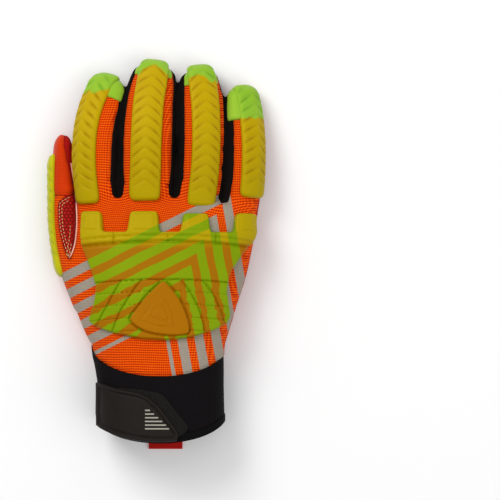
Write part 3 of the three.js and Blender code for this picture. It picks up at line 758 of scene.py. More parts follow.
knuckleGuard = {
    # from, to and top of each tab, and how far its foot spreads on the left and right
    "tabs": [(-48.2, -35.9, 26.2, 3.4), (-15.7, 2.5, 26, 3.2), (20.4, 36.9, 24.6, 3.2), (56.1, 68, 25, 3.2)],
    # the y of the notches between the tabs, and the x of the grooves that run down from them
    "notchY": 12.3, "notchGrooves": [-26.9, 9.9, 42.1],
    # y and x up the sides, x and y along the bottom
    "right": [(-48.6, 50.4), (-42, 50.7), (-27, 49.4), (-15.2, 51.9), (-1.3, 60.8), (4.7, 66), (12, 68.4),
              (26, 68.8)],
    "left": [(-46, -43), (-33.7, -39.6), (-24.9, -39), (-18, -41), (-6.3, -45), (2.7, -48.9), (12, -49.2),
             (26, -49)],
    "bottom": [(-43, -48.5), (-38, -53), (-27.2, -56.9), (-7.9, -61.2), (8.9, -62), (25.8, -60), (40, -55.4),
               (47, -51.5), (50.4, -47)],
    "tabHeight": 5.4, "bandHeight": 4.7, "fanHeight": 4.3, "edge": 1.6, "sag": 0.0011, "groove": 5.6,
    "bandFoot": -20.4,
    "stepLines": [-28.6, -37.2, -46.2, -55.0],
    # grooves that fan out below the band
    "fan": [[(-21.2, -20.5), (-26.3, -29.1), (-31.5, -39.4), (-36.1, -48.6), (-38, -54)],
            [(-7.9, -20.5), (-14.3, -29.1), (-20, -38.3), (-23.5, -45.2), (-28.1, -58)],
            [(18.5, -20.5), (24.8, -29.1), (30, -39.4), (32.9, -48.6), (34.6, -60)],
            [(32.9, -20.5), (39.8, -30.2), (43.8, -39.4), (46.1, -47.5), (47, -54)]],
    "wedge": [(5.9, -21.4), (1.8, -25.0), (-5.1, -31.8), (-10.8, -39.5), (-15.7, -46.4), (-14, -50.6),
              (-7.4, -55.2), (1.8, -57.8), (13.3, -59), (22.4, -58), (24.4, -55), (24, -50.4), (21.9, -42.9),
              (17.9, -33.7),
              (12.2, -25.9), (8.4, -22)],
    "wedgeLines": [[(0, -36), (-5, -44), (-8.5, -48.5), (0, -52), (14, -53.5), (13, -44), (8, -34)],
                   [(2, -40), (-1.5, -46), (6, -48.5), (10, -49), (9, -43), (6, -37.5)]],
}
notchY = knuckleGuard["notchY"]
topLine = []
for a, b, top, foot in knuckleGuard["tabs"]:
    topLine += [(a - foot, notchY), (a - foot * 0.55, notchY + 1.2), (a - 0.9, top - 2.8),
                (a - 0.2, top - 1), (a + 1.6, top), (b - 1.6, top), (b + 0.2, top - 1),
                (b + 0.9, top - 2.8), (b + foot * 0.55, notchY + 1.2), (b + foot, notchY)]
topX, topY = zip(*topLine[2:-2])
leftY, leftX = zip(*knuckleGuard["left"])
rightY, rightX = zip(*knuckleGuard["right"])
footX, footY = zip(*knuckleGuard["bottom"])


def knucklePlace(u, v):
    high = np.interp(-49 + 117.5 * u, topX, topY)
    low = np.interp(-43 + 93.4 * u, footX, footY)
    split = notchY - 0.9
    y = np.where(v < 0.76, low + (split - low) * v / 0.76, split + (high - split) * (v - 0.76) / 0.24)
    left, right = np.interp(y, leftY, leftX), np.interp(y, rightY, rightX)
    return left + (right - left) * u, y


def knuckleHeight(x, y, d):
    flow = y + knuckleGuard["sag"] * (x - 8) ** 2  # the cross lines sag towards the sides
    bandFoot, bandHeight = knuckleGuard["bandFoot"], knuckleGuard["bandHeight"]
    upper = bandHeight + (knuckleGuard["tabHeight"] - bandHeight) * rise(flow, 10.6, 1.8)
    upper -= 2.1 * bell(flow - knuckleGuard["groove"], 0.95) + 0.5 * bell(flow - 9.6, 0.5)
    upper -= 0.9 * rise(flow, 20, 8)
    for x1 in knuckleGuard["notchGrooves"]:
        upper -= 1.1 * bell(x - x1, 0.55) * rise(flow, 5.5, 1)
    for a, b, top, foot in knuckleGuard["tabs"]:  # a low plateau inside each tab
        inner = np.minimum(np.minimum(x - a - 2.2, b - 2.4 - x), np.minimum(top - 2.6 - y, y - 13.5))
        upper += 0.45 * rise(inner, 0, 0.9)
    fan = np.full(np.shape(x), knuckleGuard["fanHeight"])
    lines = [bandFoot] + knuckleGuard["stepLines"] + [-70]
    for high, low in zip(lines, lines[1:]):
        here = (flow <= high) & (flow > low)
        fan = np.where(here, fan - 0.35 + 0.8 * (flow - low) / (high - low), fan)
    for line in knuckleGuard["stepLines"]:
        fan -= 0.55 * bell(flow - line, 0.4)
    for line in knuckleGuard["fan"]:
        fan -= 1.4 * bell(lineDistance(x, y, smoothLine(line, 25)), 0.55)
    outline = roundOutline(knuckleGuard["wedge"], 3)
    inside = edgeDistance(x, y, outline)
    lift = knuckleGuard["fanHeight"] + 0.95
    for line in knuckleGuard["wedgeLines"]:
        lift = lift - 0.42 * bell(lineDistance(x, y, line), 0.4)
    fan = fan + (lift - fan) * rise(inside, 0.5, 1.1) - 1.5 * bell(inside + 0.2, 0.6)
    h = np.where(flow > bandFoot, upper, fan) - 1.5 * bell(flow - bandFoot, 0.5)
    return 0.3 + (np.maximum(h, 1.5) - 0.3) * dome(d, knuckleGuard["edge"])


knuckleGround = groundUnder(skinTree, (-52, -64), (71, 28), settle=14)
knucklePiece = reliefSheet("knuckle_rubber", 210, 150, knucklePlace, knuckleHeight, knuckleGround, base=-0.25)
spots = pointsOf(knucklePiece) / mm - shift
inWedge = edgeDistance(spots[:, 0], spots[:, 1], roundOutline(knuckleGuard["wedge"], 3))
storeValues(knucklePiece, "wedge", rise(inWedge, 0.2, 0.8))
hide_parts("knuckle_guard")
print("knuckle guard made")


cuffForm = {
    "wall": 2.8,
    "rows": [(-140, -37.6, 49.2, 3.2, 57), (-100, -38.4, 48.2, 3.2, 55), (-82, -40.6, 48.2, 3.2, 53.2),
             (-72, -42.8, 48, 3.2, 52.6), (-58, -44, 47.5, 4, 52)],
    "ruck": 0.5, "ruckSize": 26.0,
}


def cuffTube(name, grow, wall):
    rows = cuffForm["rows"]
    tube = blockSolid(name, rows, grow, sides=144)
    finishWith(tube, "SUBSURF", levels=1, render_levels=1)
    bore = blockSolid("bore", [(-150,) + rows[0][1:]] + rows + [(-50,) + rows[-1][1:]], grow - wall, sides=96)
    return trim(tube, bore, "DIFFERENCE")


def ruffle(obj, amount, size):
    points = pointsOf(obj)
    for i, p in enumerate(points):
        q = Vector(p / mm / size)
        q.y *= 0.5
        r = p.copy()
        r[1] = 0
        r -= np.array([4.4, 0, 27]) * mm
        r /= np.linalg.norm(r) + 1e-9
        points[i] = p + r * amount * mm * noise.noise(q + Vector((1.7, 4.2, 0.4)))
    putPoints(obj, points)


cuff = cuffTube("cuff_sleeve", 0, cuffForm["wall"])
ruffle(cuff, cuffForm["ruck"], cuffForm["ruckSize"])
cuffTree = treeOf(cuff)
trim(cuff, aboveCurve("seamTool", seams["cuff"], -0.15), "DIFFERENCE")
trim(cuff, aboveCurve("hemTool", seams["hem"], seams["bindingHeight"] + 0.15), "INTERSECT")
binding = cuffTube("cuff_hem", 0.5, cuffForm["wall"] + 0.8)
ruffle(binding, cuffForm["ruck"], cuffForm["ruckSize"])
trim(binding, aboveCurve("edgeTool", seams["hem"], 0), "INTERSECT")
trim(binding, aboveCurve("upTool", seams["hem"], seams["bindingHeight"] - 0.15), "DIFFERENCE")
bevel(binding, 0.7, 3)
bevel(cuff, 0.5, 2)
smoothShade(cuff, 40)
smoothShade(binding, 40)
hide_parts("cuff")
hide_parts("cuff_binding")

strapForm = {
    "left": -36.9, "right": 17.4, "thickness": 1.7, "lift": 1.7, "rim": 0.75,
    "top": [(-36.9, -90.4), (-22.8, -94.9), (-9, -97.6), (-2.8, -100.4), (4.1, -106.6), (10.5, -115),
            (16.4, -123.4), (17.4, -126)],
    "pad": [(-36, -93.5), (-9, -95.3), (3, -97.4), (7.2, -99.4), (16, -110.6), (24, -120.6)],
    "padFoot": [(-36, -112), (10, -127.4), (18, -127.6), (22, -125), (24, -121.4)],
    # the lengths of the printed bars
    "bars": [3.4, 6.2, 9.0, 11.8, 14.4, 16.4], "barTop": -108.9, "barPitch": 2.5, "barLeft": -5.4,
    "barHeight": 0.95,
}
strapX, strapY = zip(*strapForm["top"])
padX, padY = zip(*strapForm["pad"])
padFootX, padFootY = zip(*strapForm["padFoot"])


def strapPlace(u, v):
    x = strapForm["left"] + (strapForm["right"] - strapForm["left"]) * u
    low = endCurve(seams["hem"], x) + 0.8
    high = np.interp(x, strapX, strapY)
    return x - 1.2 * (1 - v) * u ** 6, low + (high - low) * v


def strapHeight(x, y, d):
    rim = strapForm["rim"] * (rise(d, 0.5, 0.9) - rise(d, 2.4, 0.9))
    groove = 0.45 * bell(d - 3.2, 0.45)
    return strapForm["lift"] + 0.2 + (strapForm["thickness"] + rim - groove) * dome(d, 0.8)


def padPlace(u, v):
    x = -36 + 60 * u
    low, high = np.interp(x, padFootX, padFootY), np.interp(x, padX, padY)
    return x, low + (high - low) * v


def padHeight(x, y, d):
    def pile(a, b):
        coarse, fine = Vector((a * 1.6, b * 1.6, 3)), Vector((a * 4, b * 4, 8))
        return noise.noise(coarse) * 0.35 + noise.noise(fine) * 0.2

    fuzz = np.array([pile(a, b) for a, b in zip(x.ravel(), y.ravel())]).reshape(x.shape)
    return 0.2 + (1.25 + fuzz) * dome(d, 0.9)


cuffGround = groundUnder(cuffTree, (-40, -138), (30, -88), settle=12)
strap = reliefSheet("strap_band", 120, 60, strapPlace, strapHeight, cuffGround, base=strapForm["lift"] - 0.1)
hookPad = reliefSheet("hook_pile", 96, 48, padPlace, padHeight, cuffGround, base=0.02)
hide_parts("wrist_strap")
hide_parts("hook_pad")

# Thin raised bars, each a grid laid on the strap
bars = []
for k, length in enumerate(strapForm["bars"]):
    deselectAll()
    x0 = strapForm["barLeft"] + length / 2 + shift[0]
    y0 = strapForm["barTop"] - k * strapForm["barPitch"] - strapForm["barHeight"] / 2 + shift[1]
    middle = (x0 * mm, y0 * mm, 80 * mm)
    bpy.ops.mesh.primitive_grid_add(x_subdivisions=20, y_subdivisions=3, size=mm, location=middle)
    bar = bpy.context.object
    bpy.ops.object.mode_set(mode="EDIT")
    bpy.ops.mesh.select_all(action="SELECT")
    bpy.ops.transform.resize(value=(length, strapForm["barHeight"], 1), center_override=middle)
    bpy.ops.object.mode_set(mode="OBJECT")
    bpy.ops.object.transform_apply(location=True, rotation=True, scale=True)
    finishWith(bar, "SHRINKWRAP", target=strap, wrap_method="PROJECT", use_project_z=True,
               use_negative_direction=True, use_positive_direction=False, offset=0.1 * mm)
    finishWith(bar, "SOLIDIFY", thickness=0.26 * mm, offset=-1)
    bevel(bar, 0.06, 2)
    bars.append(bar)
strapBars = joinAll(bars, "strap_bars")
smoothShade(strapBars, 50)

tabForm = {
    "x": 7.5, "width": 23.5, "top": -84, "end": -138.4, "back": -118, "thick": 0.9,
    "gap": 0.3,  # between the two layers
    "rest": 0.2,  # above the floor
}


# Pulls the selected edge on by a step in y and z
def pullEdge(step):
    bpy.ops.mesh.extrude_region_move(TRANSFORM_OT_translate={"value": (0, step[0] * mm, step[1] * mm)})


# A strip of webbing that runs out under the cuff and folds back over itself
def tabPiece():
    radius = (tabForm["thick"] + tabForm["gap"]) / 2
    low, half = tabForm["rest"] + tabForm["thick"] / 2, tabForm["width"] / 2
    x, y = (tabForm["x"] + shift[0]) * mm, (tabForm["top"] - half + shift[1]) * mm
    deselectAll()
    bpy.ops.mesh.primitive_plane_add(size=tabForm["width"] * mm, location=(x, y, low * mm))
    obj = bpy.context.object
    obj.name = "pull_webbing"
    bpy.ops.object.transform_apply(location=True, rotation=True, scale=True)
    for edge in obj.data.edges:
        edge.select = all(obj.data.vertices[i].co.y < y for i in edge.vertices)
    for vertex in obj.data.vertices:
        vertex.select = vertex.co.y < y
    for face in obj.data.polygons:
        face.select = False
    bpy.ops.object.mode_set(mode="EDIT")
    bpy.ops.mesh.select_mode(type="EDGE")
    fold = tabForm["end"] + radius + tabForm["thick"] / 2
    reach = fold - (tabForm["top"] - tabForm["width"])
    for _ in range(12):
        pullEdge((reach / 12, 0))
    turns = np.linspace(0, math.pi, 10)
    for a, b in zip(turns, turns[1:]):
        pullEdge((-radius * (math.sin(b) - math.sin(a)), radius * (math.cos(a) - math.cos(b))))
    for _ in range(8):
        pullEdge(((tabForm["back"] - fold) / 8, 0))
    bpy.ops.object.mode_set(mode="OBJECT")
    finishWith(obj, "SOLIDIFY", thickness=tabForm["thick"] * mm, offset=0, use_even_offset=True)
    bevel(obj, 0.3, 3, 60)
    recalculate(obj)
    smoothShade(obj, 50)
    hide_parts("pull_tab")
    return obj


pullTab = tabPiece()
print("cuff, strap and tab made")


patchForm = {
    "gap": 0.05, "thick": 1.25, "cell": 2.6, "cellHeight": 0.3,
    # the top edge with a lobe at each finger, then the side by the thumb, the heel and the outer side
    "palm": [(66, 6), (66.5, 26), (60, 34), (53.5, 36), (50, 33.5), (45.5, 28.5), (38.5, 34.5), (35.4, 41),
             (33.4, 44.2), (31, 45.2), (28.6, 44.2), (26.4, 41), (22.5, 34.8), (14, 32), (5, 36),
             (0.6, 43.5), (-1.4, 46.2), (-3.8, 47), (-6.2, 46), (-8.4, 43), (-13, 36.5), (-24, 31.5),
             (-33, 35), (-40, 41.5), (-42.4, 44), (-45.2, 44.4), (-47.6, 42), (-48.8, 37), (-49, 28),
             (-48, 13), (-45, 7.5), (-38, 4), (-47, -1), (-46, -8), (-36, -26), (-26, -45), (-14, -57),
             (4, -64), (22, -61.5), (38, -53), (49, -40), (58, -22), (63, -8)],
    "channel": [(-60, 9), (-38, 6.5), (-10, 6.5), (22, 6), (36, 2), (42, -8), (40, -22), (32, -36), (18, -44),
                (7, -40), (4, -30), (10, -22), (26, -16), (31, -9), (26, -4), (4, -1.5), (-36, 1.5),
                (-60, 5.5)],
    "web": [(-58, -6.5), (-62.5, 3), (-65.4, 14), (-66.4, 25), (-66, 32), (-63.4, 35), (-55.2, 37.5),
            (-54.4, 22), (-55, 8)],
    "touchFrom": 88,
    "touchUnder": [(80, 14), (97, 9.5), (110, 6.5), (135, 6)],  # y, and the height that it reaches up to
}
patchInner = handSolid("patchInner", patchForm["gap"], 1.15)
patchOuter = handSolid("patchOuter", patchForm["gap"] + patchForm["thick"], 1.15)
patchShell = copyOf(patchOuter, "patchShell")
cut(patchShell, patchInner, "DIFFERENCE")
patchTree = treeOf(patchOuter)
palmOutline = roundOutline(patchForm["palm"])
channelOutline = roundOutline(patchForm["channel"])


def rollRim(obj, tree, reach, dropBy):
    points, normals, outer, near = rimNearness(obj, tree, reach)
    for i in np.nonzero(outer)[0]:
        points[i] -= normals[i] * mm * dropBy * near[i]
    putPoints(obj, points)
    # The nearness to the rim also darkens the patch's colour there, as painted shade
    storeValues(obj, "seam", near)
    smoothShade(obj, 50)


palmPatch = copyOf(patchShell, "palm_grip")
trim(palmPatch, prism("tool", palmOutline, -20, 13), "INTERSECT")
trim(palmPatch, prism("tool", channelOutline, -20, 60), "DIFFERENCE")
webPatch = copyOf(patchShell, "web_grip")
trim(webPatch, prism("tool", roundOutline(patchForm["web"]), 10, 60), "INTERSECT")
touchTip = copyOf(patchShell, "touch_cloth")
start = patchForm["touchFrom"]
touchOutline = [(-60, start + 4), (-49, start + 1), (-38, start), (-27, start + 1), (-21.2, start + 2.5),
                (-20, 104), (-18.6, 114), (-17, 130), (-60, 130)]
trim(touchTip, prism("tool", touchOutline, -20, 60), "INTERSECT")
trim(touchTip, underProfile("tool", patchForm["touchUnder"], 0), "INTERSECT")


# Rounded cells in rows, 0 between the cells and 1 on them
def honeycomb(x, y):
    k = 2 * math.pi / (patchForm["cell"] * 0.866)
    turns = [math.radians(angle) for angle in (0, 60, 120)]
    return rise(sum(np.cos(k * (x * math.sin(a) + y * math.cos(a))) for a in turns), 0.0, 2.2)


def raiseCells(obj, tree):
    points = pointsOf(obj)
    near = np.zeros(len(points))
    obj.data.attributes["seam"].data.foreach_get("value", near)
    for i, p in enumerate(points):
        found = tree.find_nearest(Vector(p))
        if found[3] < 0.2 * mm:
            lift = patchForm["cellHeight"] * (honeycomb(p[0] / mm, p[1] / mm) - 0.6) * (1 - near[i]) ** 2
            points[i] += np.array(found[1]) * mm * lift
    putPoints(obj, points)


for piece in (palmPatch, webPatch, touchTip):
    keepBiggest(piece)
    if piece is not touchTip:
        finishWith(piece, "SUBSURF", subdivision_type="SIMPLE", levels=1, render_levels=1)
    rollRim(piece, patchTree, 1.3, 0.75)
    if piece is not touchTip:
        raiseCells(piece, patchTree)
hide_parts("palm_patch")
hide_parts("web_patch")
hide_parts("touch_tip")
drop(patchShell, patchInner)
print("patches made")


stitchForm = {"length": 1.9, "pitch": 2.7, "radius": 0.24, "lift": 0.1}


def insetOutline(points, inset, closed=True):
    points = np.array(points, dtype=float)
    if closed:
        along = np.roll(points, -1, axis=0) - np.roll(points, 1, axis=0)
    else:
        along = np.gradient(points, axis=0)
    along /= np.linalg.norm(along, axis=1)[:, None] + 1e-9
    return points + np.stack([-along[:, 1], along[:, 0]], axis=1) * inset


def walk(points, pitch, closed):
    line = np.vstack([points, points[:1]]) if closed else np.array(points)
    lengths = np.concatenate([[0], np.cumsum(np.linalg.norm(np.diff(line, axis=0), axis=1))])
    for at in np.arange(pitch / 2, lengths[-1] - pitch / 2, pitch):
        p = np.array([np.interp(at, lengths, line[:, k]) for k in range(line.shape[1])])
        q = np.array([np.interp(at + 0.2, lengths, line[:, k]) for k in range(line.shape[1])])
        yield p, (q - p) / (np.linalg.norm(q - p) + 1e-9)


# rows holds lists of x, y points with whether each is closed; keep(x, y) says where stitches go
def stitchPiece(name, rows, tree, fromAbove, keep=lambda x, y: True, form=stitchForm):
    sign = 1 if fromAbove else -1
    points, faces = [], []
    for outline, closed in rows:
        for p, way in walk(np.array(outline, dtype=float), form["pitch"], closed):
            if not keep(p[0], p[1]):
                continue
            x, y = (p + shift[:2]) * mm
            hit, n, _, _ = tree.ray_cast(Vector((x, y, rayStart * sign)), Vector((0, 0, -sign)))
            if hit is None or abs(n[2]) < 0.12:
                continue
            t = Vector((way[0], way[1], 0))
            t = (t - n * t.dot(n)).normalized()
            side = n.cross(t)
            first = len(points)
            for k, share in ((-1.0, 0.35), (-0.62, 1.0), (0.0, 1.12), (0.62, 1.0), (1.0, 0.35)):
                sink = 1 if abs(k) < 0.9 else -1.2  # the ends of a stitch go into the cloth
                middle = hit + t * k * form["length"] / 2 * mm + n * form["lift"] * mm * sink
                for a in range(6):
                    angle = a * math.pi / 3
                    r = form["radius"] * share * mm
                    points.append(tuple(middle + side * r * math.cos(angle) + n * r * math.sin(angle)))
            for j in range(4):
                for a in range(6):
                    i0, i1 = first + j * 6 + a, first + j * 6 + (a + 1) % 6
                    faces.append((i0, i1, i1 + 6, i0 + 6))
            faces.append(tuple(first + a for a in reversed(range(6))))
            faces.append(tuple(first + 24 + a for a in range(6)))
    obj = makeObject(name, points, faces)
    recalculate(obj)
    smoothShade(obj)
    return obj


palmTree = treeOf(palmPatch)


def outsideChannel(x, y, margin=0.9):
    return edgeDistance(np.array([x]), np.array([y]), channelOutline[::3])[0] < -margin


def insidePatch(x, y, margin=0.7):
    return edgeDistance(np.array([x]), np.array([y]), palmOutline[::3])[0] > margin


def turned(outline):
    outline = np.array(outline, dtype=float)
    x, y = outline[:, 0], outline[:, 1]
    return outline if np.sum(x * np.roll(y, -1) - np.roll(x, -1) * y) > 0 else outline[::-1]


palmRows = [(insetOutline(turned(palmOutline), inset), True) for inset in (1.3, 2.8, 4.4)]
channelRows = [(insetOutline(turned(channelOutline), -inset), True) for inset in (1.3, 2.8, 4.3)]
# single rows that decorate the patch
vLines = [[(28, 38), (22, 28), (17, 19), (13.5, 15.8), (10, 19), (6, 28), (1, 39)],
          [(-1, -4), (3, -7), (3.6, -12), (-1, -17), (-8, -19), (-15, -19.5), (-12, -24), (-4, -28),
           (1, -33)],
          [(23, -46), (18, -53), (14, -58), (11, -58), (9, -53), (5, -45)]]
fineForm = dict(stitchForm, length=1.7, pitch=2.4, radius=0.18)
palmStitches = stitchPiece("palm_stitches", palmRows, palmTree, False, outsideChannel)
channelStitches = stitchPiece("channel_stitches", channelRows, palmTree, False, insidePatch)
vRows = [(smoothLine(line, 40), False) for line in vLines]
fancyStitches = stitchPiece("v_stitches", vRows, palmTree, False, form=fineForm)
webOutline = turned(roundOutline(patchForm["web"]))
webRows = [(insetOutline(webOutline, inset), True) for inset in (1.3, 3.1)]
webStitches = stitchPiece("web_stitches", webRows, treeOf(webPatch), True,
                          lambda x, y: x < -56.5 - 0.06 * y, fineForm)
arcs = [[(-38 + 15 * math.sin(a), start + dy + 3.4 * (1 - math.cos(a))) for a in np.linspace(-1.2, 1.2, 25)]
        for dy in (1.4, 3.3, 5.2)]
touchRows = [(arc, False) for arc in arcs]
touchStitches = stitchPiece("touch_stitches", touchRows, treeOf(touchTip), False, form=fineForm)
x0, x1 = tabForm["x"] - tabForm["width"] / 2 + 1.6, tabForm["x"] + tabForm["width"] / 2 - 1.6
box = [(x0, -86), (x0, -117), (x1, -117), (x1, -86)]
tabStitches = stitchPiece("tab_stitches", [(box, True)], treeOf(pullTab), False,
                          form=dict(fineForm, radius=0.17, lift=0.0))
print("stitches made")


# The pale edge of the cloth where the thumb's web meets the first finger
def pipingPiece():
    route = [(-57.6, -5), (-54.6, 3), (-53.2, 14), (-53.2, 25), (-54.2, 36), (-55.6, 48), (-57.4, 60)]
    points = []
    for x, y in smoothLine(route, 70):
        above = Vector(((x + shift[0]) * mm, (y + shift[1]) * mm, rayStart))
        hit = skinTree.ray_cast(above, Vector((0, 0, -1)))[0]
        points.append(np.array(hit) if hit else points[-1])
    points = np.array(points)
    for _ in range(4):
        points[1:-1] = points[1:-1] * 0.4 + 0.3 * (points[:-2] + points[2:])
    curve = bpy.data.curves.new("piping", "CURVE")
    curve.dimensions = "3D"
    curve.bevel_depth = 0.55 * mm
    curve.bevel_resolution = 3
    curve.use_fill_caps = True
    lineData = curve.splines.new("POLY")
    lineData.points.add(len(points) - 1)
    for spot, p in zip(lineData.points, points):
        spot.co = (p[0], p[1], p[2] + 0.25 * mm, 1)
    obj = bpy.data.objects.new("web_piping", curve)
    bpy.context.collection.objects.link(obj)
    deselectAll()
    obj.select_set(True)
    bpy.context.view_layer.objects.active = obj
    bpy.ops.object.convert(target="MESH")
    smoothShade(obj, 50)
    return obj


piping = pipingPiece()


# A colour in screen values from 0 to 255, as the linear values that a shader takes
def srgb(r, g, b):
    levels = [c / 255 for c in (r, g, b)]
    return tuple(c / 12.92 if c <= 0.04045 else ((c + 0.055) / 1.055) ** 2.4 for c in levels) + (1.0,)


class Shader:
    def __init__(self, name, **settings):
        self.material = bpy.data.materials.new(name)
        self.material.use_nodes = True
        self.tree = self.material.node_tree
        self.surface = self.tree.nodes["Principled BSDF"]
        for key, value in settings.items():
            self.surface.inputs[key].default_value = value
        coordinates = self.tree.nodes.new("ShaderNodeTexCoord")
        self.place = coordinates.outputs["Object"]

    def link(self, source, socket):
        if isinstance(source, bpy.types.NodeSocket):
            self.tree.links.new(source, socket)
        else:
            socket.default_value = source

    def math(self, operation, a, b=0.0):
        node = self.tree.nodes.new("ShaderNodeMath")
        node.operation = operation
        for socket, value in zip(node.inputs, (a, b)):
            self.link(value, socket)
        return node.outputs[0]

    def plus(self, a, b):
        return self.math("ADD", a, b)

    def minus(self, a, b):
        return self.math("SUBTRACT", a, b)

    def times(self, a, b):
        return self.math("MULTIPLY", a, b)

    # A sine wave with one crest in each pitch, in mm
    def wave(self, along, pitch):
        return self.math("SINE", self.times(along, 2 * math.pi / (pitch * mm)))

    def axes(self):
        node = self.tree.nodes.new("ShaderNodeSeparateXYZ")
        self.link(self.place, node.inputs[0])
        return node.outputs

    def noise(self, scale, detail=3.0, stretch=(1, 1, 1)):
        mapping = self.tree.nodes.new("ShaderNodeMapping")
        mapping.inputs["Scale"].default_value = stretch
        self.link(self.place, mapping.inputs["Vector"])
        node = self.tree.nodes.new("ShaderNodeTexNoise")
        node.inputs["Scale"].default_value = scale
        node.inputs["Detail"].default_value = detail
        self.tree.links.new(mapping.outputs[0], node.inputs["Vector"])
        return node.outputs["Fac"]

    def mix(self, factor, a, b):
        node = self.tree.nodes.new("ShaderNodeMix")
        node.data_type = "RGBA"
        self.link(factor, node.inputs["Factor"])
        self.link(a, node.inputs["A"])
        self.link(b, node.inputs["B"])
        return node.outputs["Result"]

    def ramp(self, value, low, high):
        node = self.tree.nodes.new("ShaderNodeMapRange")
        node.interpolation_type = "SMOOTHSTEP"
        self.link(value, node.inputs["Value"])
        self.link(low, node.inputs["From Min"])
        self.link(high, node.inputs["From Max"])
        return node.outputs["Result"]

    def attribute(self, name):
        node = self.tree.nodes.new("ShaderNodeAttribute")
        node.attribute_name = name
        return node.outputs["Fac"]

    def bump(self, height, distance, strength=1.0):
        node = self.tree.nodes.new("ShaderNodeBump")
        node.inputs["Distance"].default_value = distance * mm
        node.inputs["Strength"].default_value = strength
        self.link(height, node.inputs["Height"])
        self.tree.links.new(node.outputs[0], self.surface.inputs["Normal"])

    def colour(self, source):
        self.link(source, self.surface.inputs["Base Color"])

    def rough(self, source):
        self.link(source, self.surface.inputs["Roughness"])


# Sizes in mm; rise and fall are the slopes of the two halves in degrees, and share is how much of the
# pitch a band fills
stripes = {"pitch": 11.6, "share": 0.55, "rise": 26.6, "fall": 10.0, "corner": 44.3, "offset": 10.9,
           "top": 14.6, "foot": -46.5}
# How far apart the rows of each cloth and the bands of the film are, in mm
weave = {"knitRow": 1.65, "knitColumn": 1.45, "filmRow": 1.5, "filmBand": 11, "stretchRib": 1.0,
         "stretchRow": 0.8, "warp": 1.1, "weft": 0.9}


# Slanted bands that meet at a corner on the back of the hand, 1 on a band
def stripeMask(shader, wobble):
    x, y, z = shader.axes()
    waver = shader.times(shader.minus(shader.noise(60, 2), 0.5), wobble * mm)
    lower = shader.minus(1.0, shader.ramp(y, -26 * mm, -14 * mm))
    patchy = shader.times(shader.minus(shader.noise(190, 3, stretch=(0.55, 1, 1)), 0.5), 3.2 * wobble * mm)
    waver = shader.plus(waver, shader.times(patchy, lower))
    a, b = math.radians(stripes["rise"]), math.radians(stripes["fall"])
    x = shader.minus(x, shift[0] * mm)
    y = shader.minus(y, shift[1] * mm)
    left = shader.plus(shader.times(x, -math.sin(a)), shader.times(y, math.cos(a)))
    right = shader.plus(shader.times(x, math.cos(b)), shader.times(y, math.sin(b)))
    right = shader.minus(right, stripes["corner"] * mm)
    g = shader.plus(shader.math("MAXIMUM", left, right), waver)
    phase = shader.math("DIVIDE", shader.minus(g, stripes["offset"] * mm), stripes["pitch"] * mm)
    near = shader.math("ABSOLUTE", shader.minus(shader.math("FRACT", shader.plus(phase, 0.5)), 0.5))
    band = shader.minus(1.0, shader.ramp(near, stripes["share"] / 2 - 0.012, stripes["share"] / 2 + 0.012))
    top = shader.minus(1.0, shader.ramp(g, (stripes["top"] - 0.2) * mm, (stripes["top"] + 0.2) * mm))
    foot = shader.ramp(g, (stripes["foot"] - 0.2) * mm, (stripes["foot"] + 0.2) * mm)
    band = shader.times(band, shader.times(top, foot))
    wrist = shader.ramp(y, -90 * mm, -89 * mm)
    high = shader.ramp(z, 15 * mm, 17 * mm)
    fingers = shader.minus(1.0, shader.ramp(y, 38 * mm, 38.6 * mm))
    return shader.times(shader.times(band, wrist), shader.times(high, fingers))


def knitMaterial():
    s = Shader("orange_knit", Roughness=0.85)
    s.surface.inputs["Specular IOR Level"].default_value = 0.15
    s.surface.inputs["Specular Tint"].default_value = (1.0, 0.4, 0.12, 1.0)
    s.surface.inputs["Sheen Weight"].default_value = 0.04
    s.surface.inputs["Sheen Tint"].default_value = (1.0, 0.5, 0.2, 1.0)
    x, y, z = s.axes()
    sway = s.times(s.minus(s.noise(34, 1), 0.5), 2.4 * mm)
    for place in seams["gaps"]:
        crotch = place["crotch"]
        away = [s.math("DIVIDE", s.minus(axis, (at + off) * mm), 13 * mm)
                for axis, at, off in ((x, crotch[0], shift[0]), (y, crotch[1] - 3, shift[1]))]
        square = s.plus(s.times(away[0], away[0]), s.times(away[1], away[1]))
        near = s.math("EXPONENT", s.times(square, -1.0))
        sway = s.plus(sway, s.times(near, 4.5 * mm))
    ribs = s.wave(s.plus(y, sway), weave["knitRow"])
    columns = s.wave(s.plus(x, s.times(z, 0.8)), weave["knitColumn"])
    waffle = s.plus(s.times(ribs, 0.62), s.times(columns, 0.38))
    groove = s.ramp(waffle, -0.7, 0.55)
    blotch = s.noise(60, 3)
    bright = s.mix(blotch, srgb(255, 104, 15), srgb(249, 88, 9))
    # Painted shade: the knit's grooves between rows and columns take the darker colour
    knit = s.mix(groove, srgb(180, 32, 1), bright)
    # Painted shade: the knit is darkened near its seams, where the panel rolls down
    knit = s.mix(s.times(s.attribute("seam"), 0.35), knit, srgb(150, 30, 4))
    band = stripeMask(s, 0.2)
    grain = s.noise(900, 2)
    silver = s.mix(grain, srgb(132, 124, 112), srgb(164, 155, 142))
    s.colour(s.mix(band, knit, silver))
    s.rough(s.minus(0.86, s.times(band, 0.3)))
    soft = s.times(waffle, s.minus(1.0, s.times(band, 0.72)))
    s.bump(s.plus(soft, s.times(grain, 0.3)), 0.32)
    return s.material


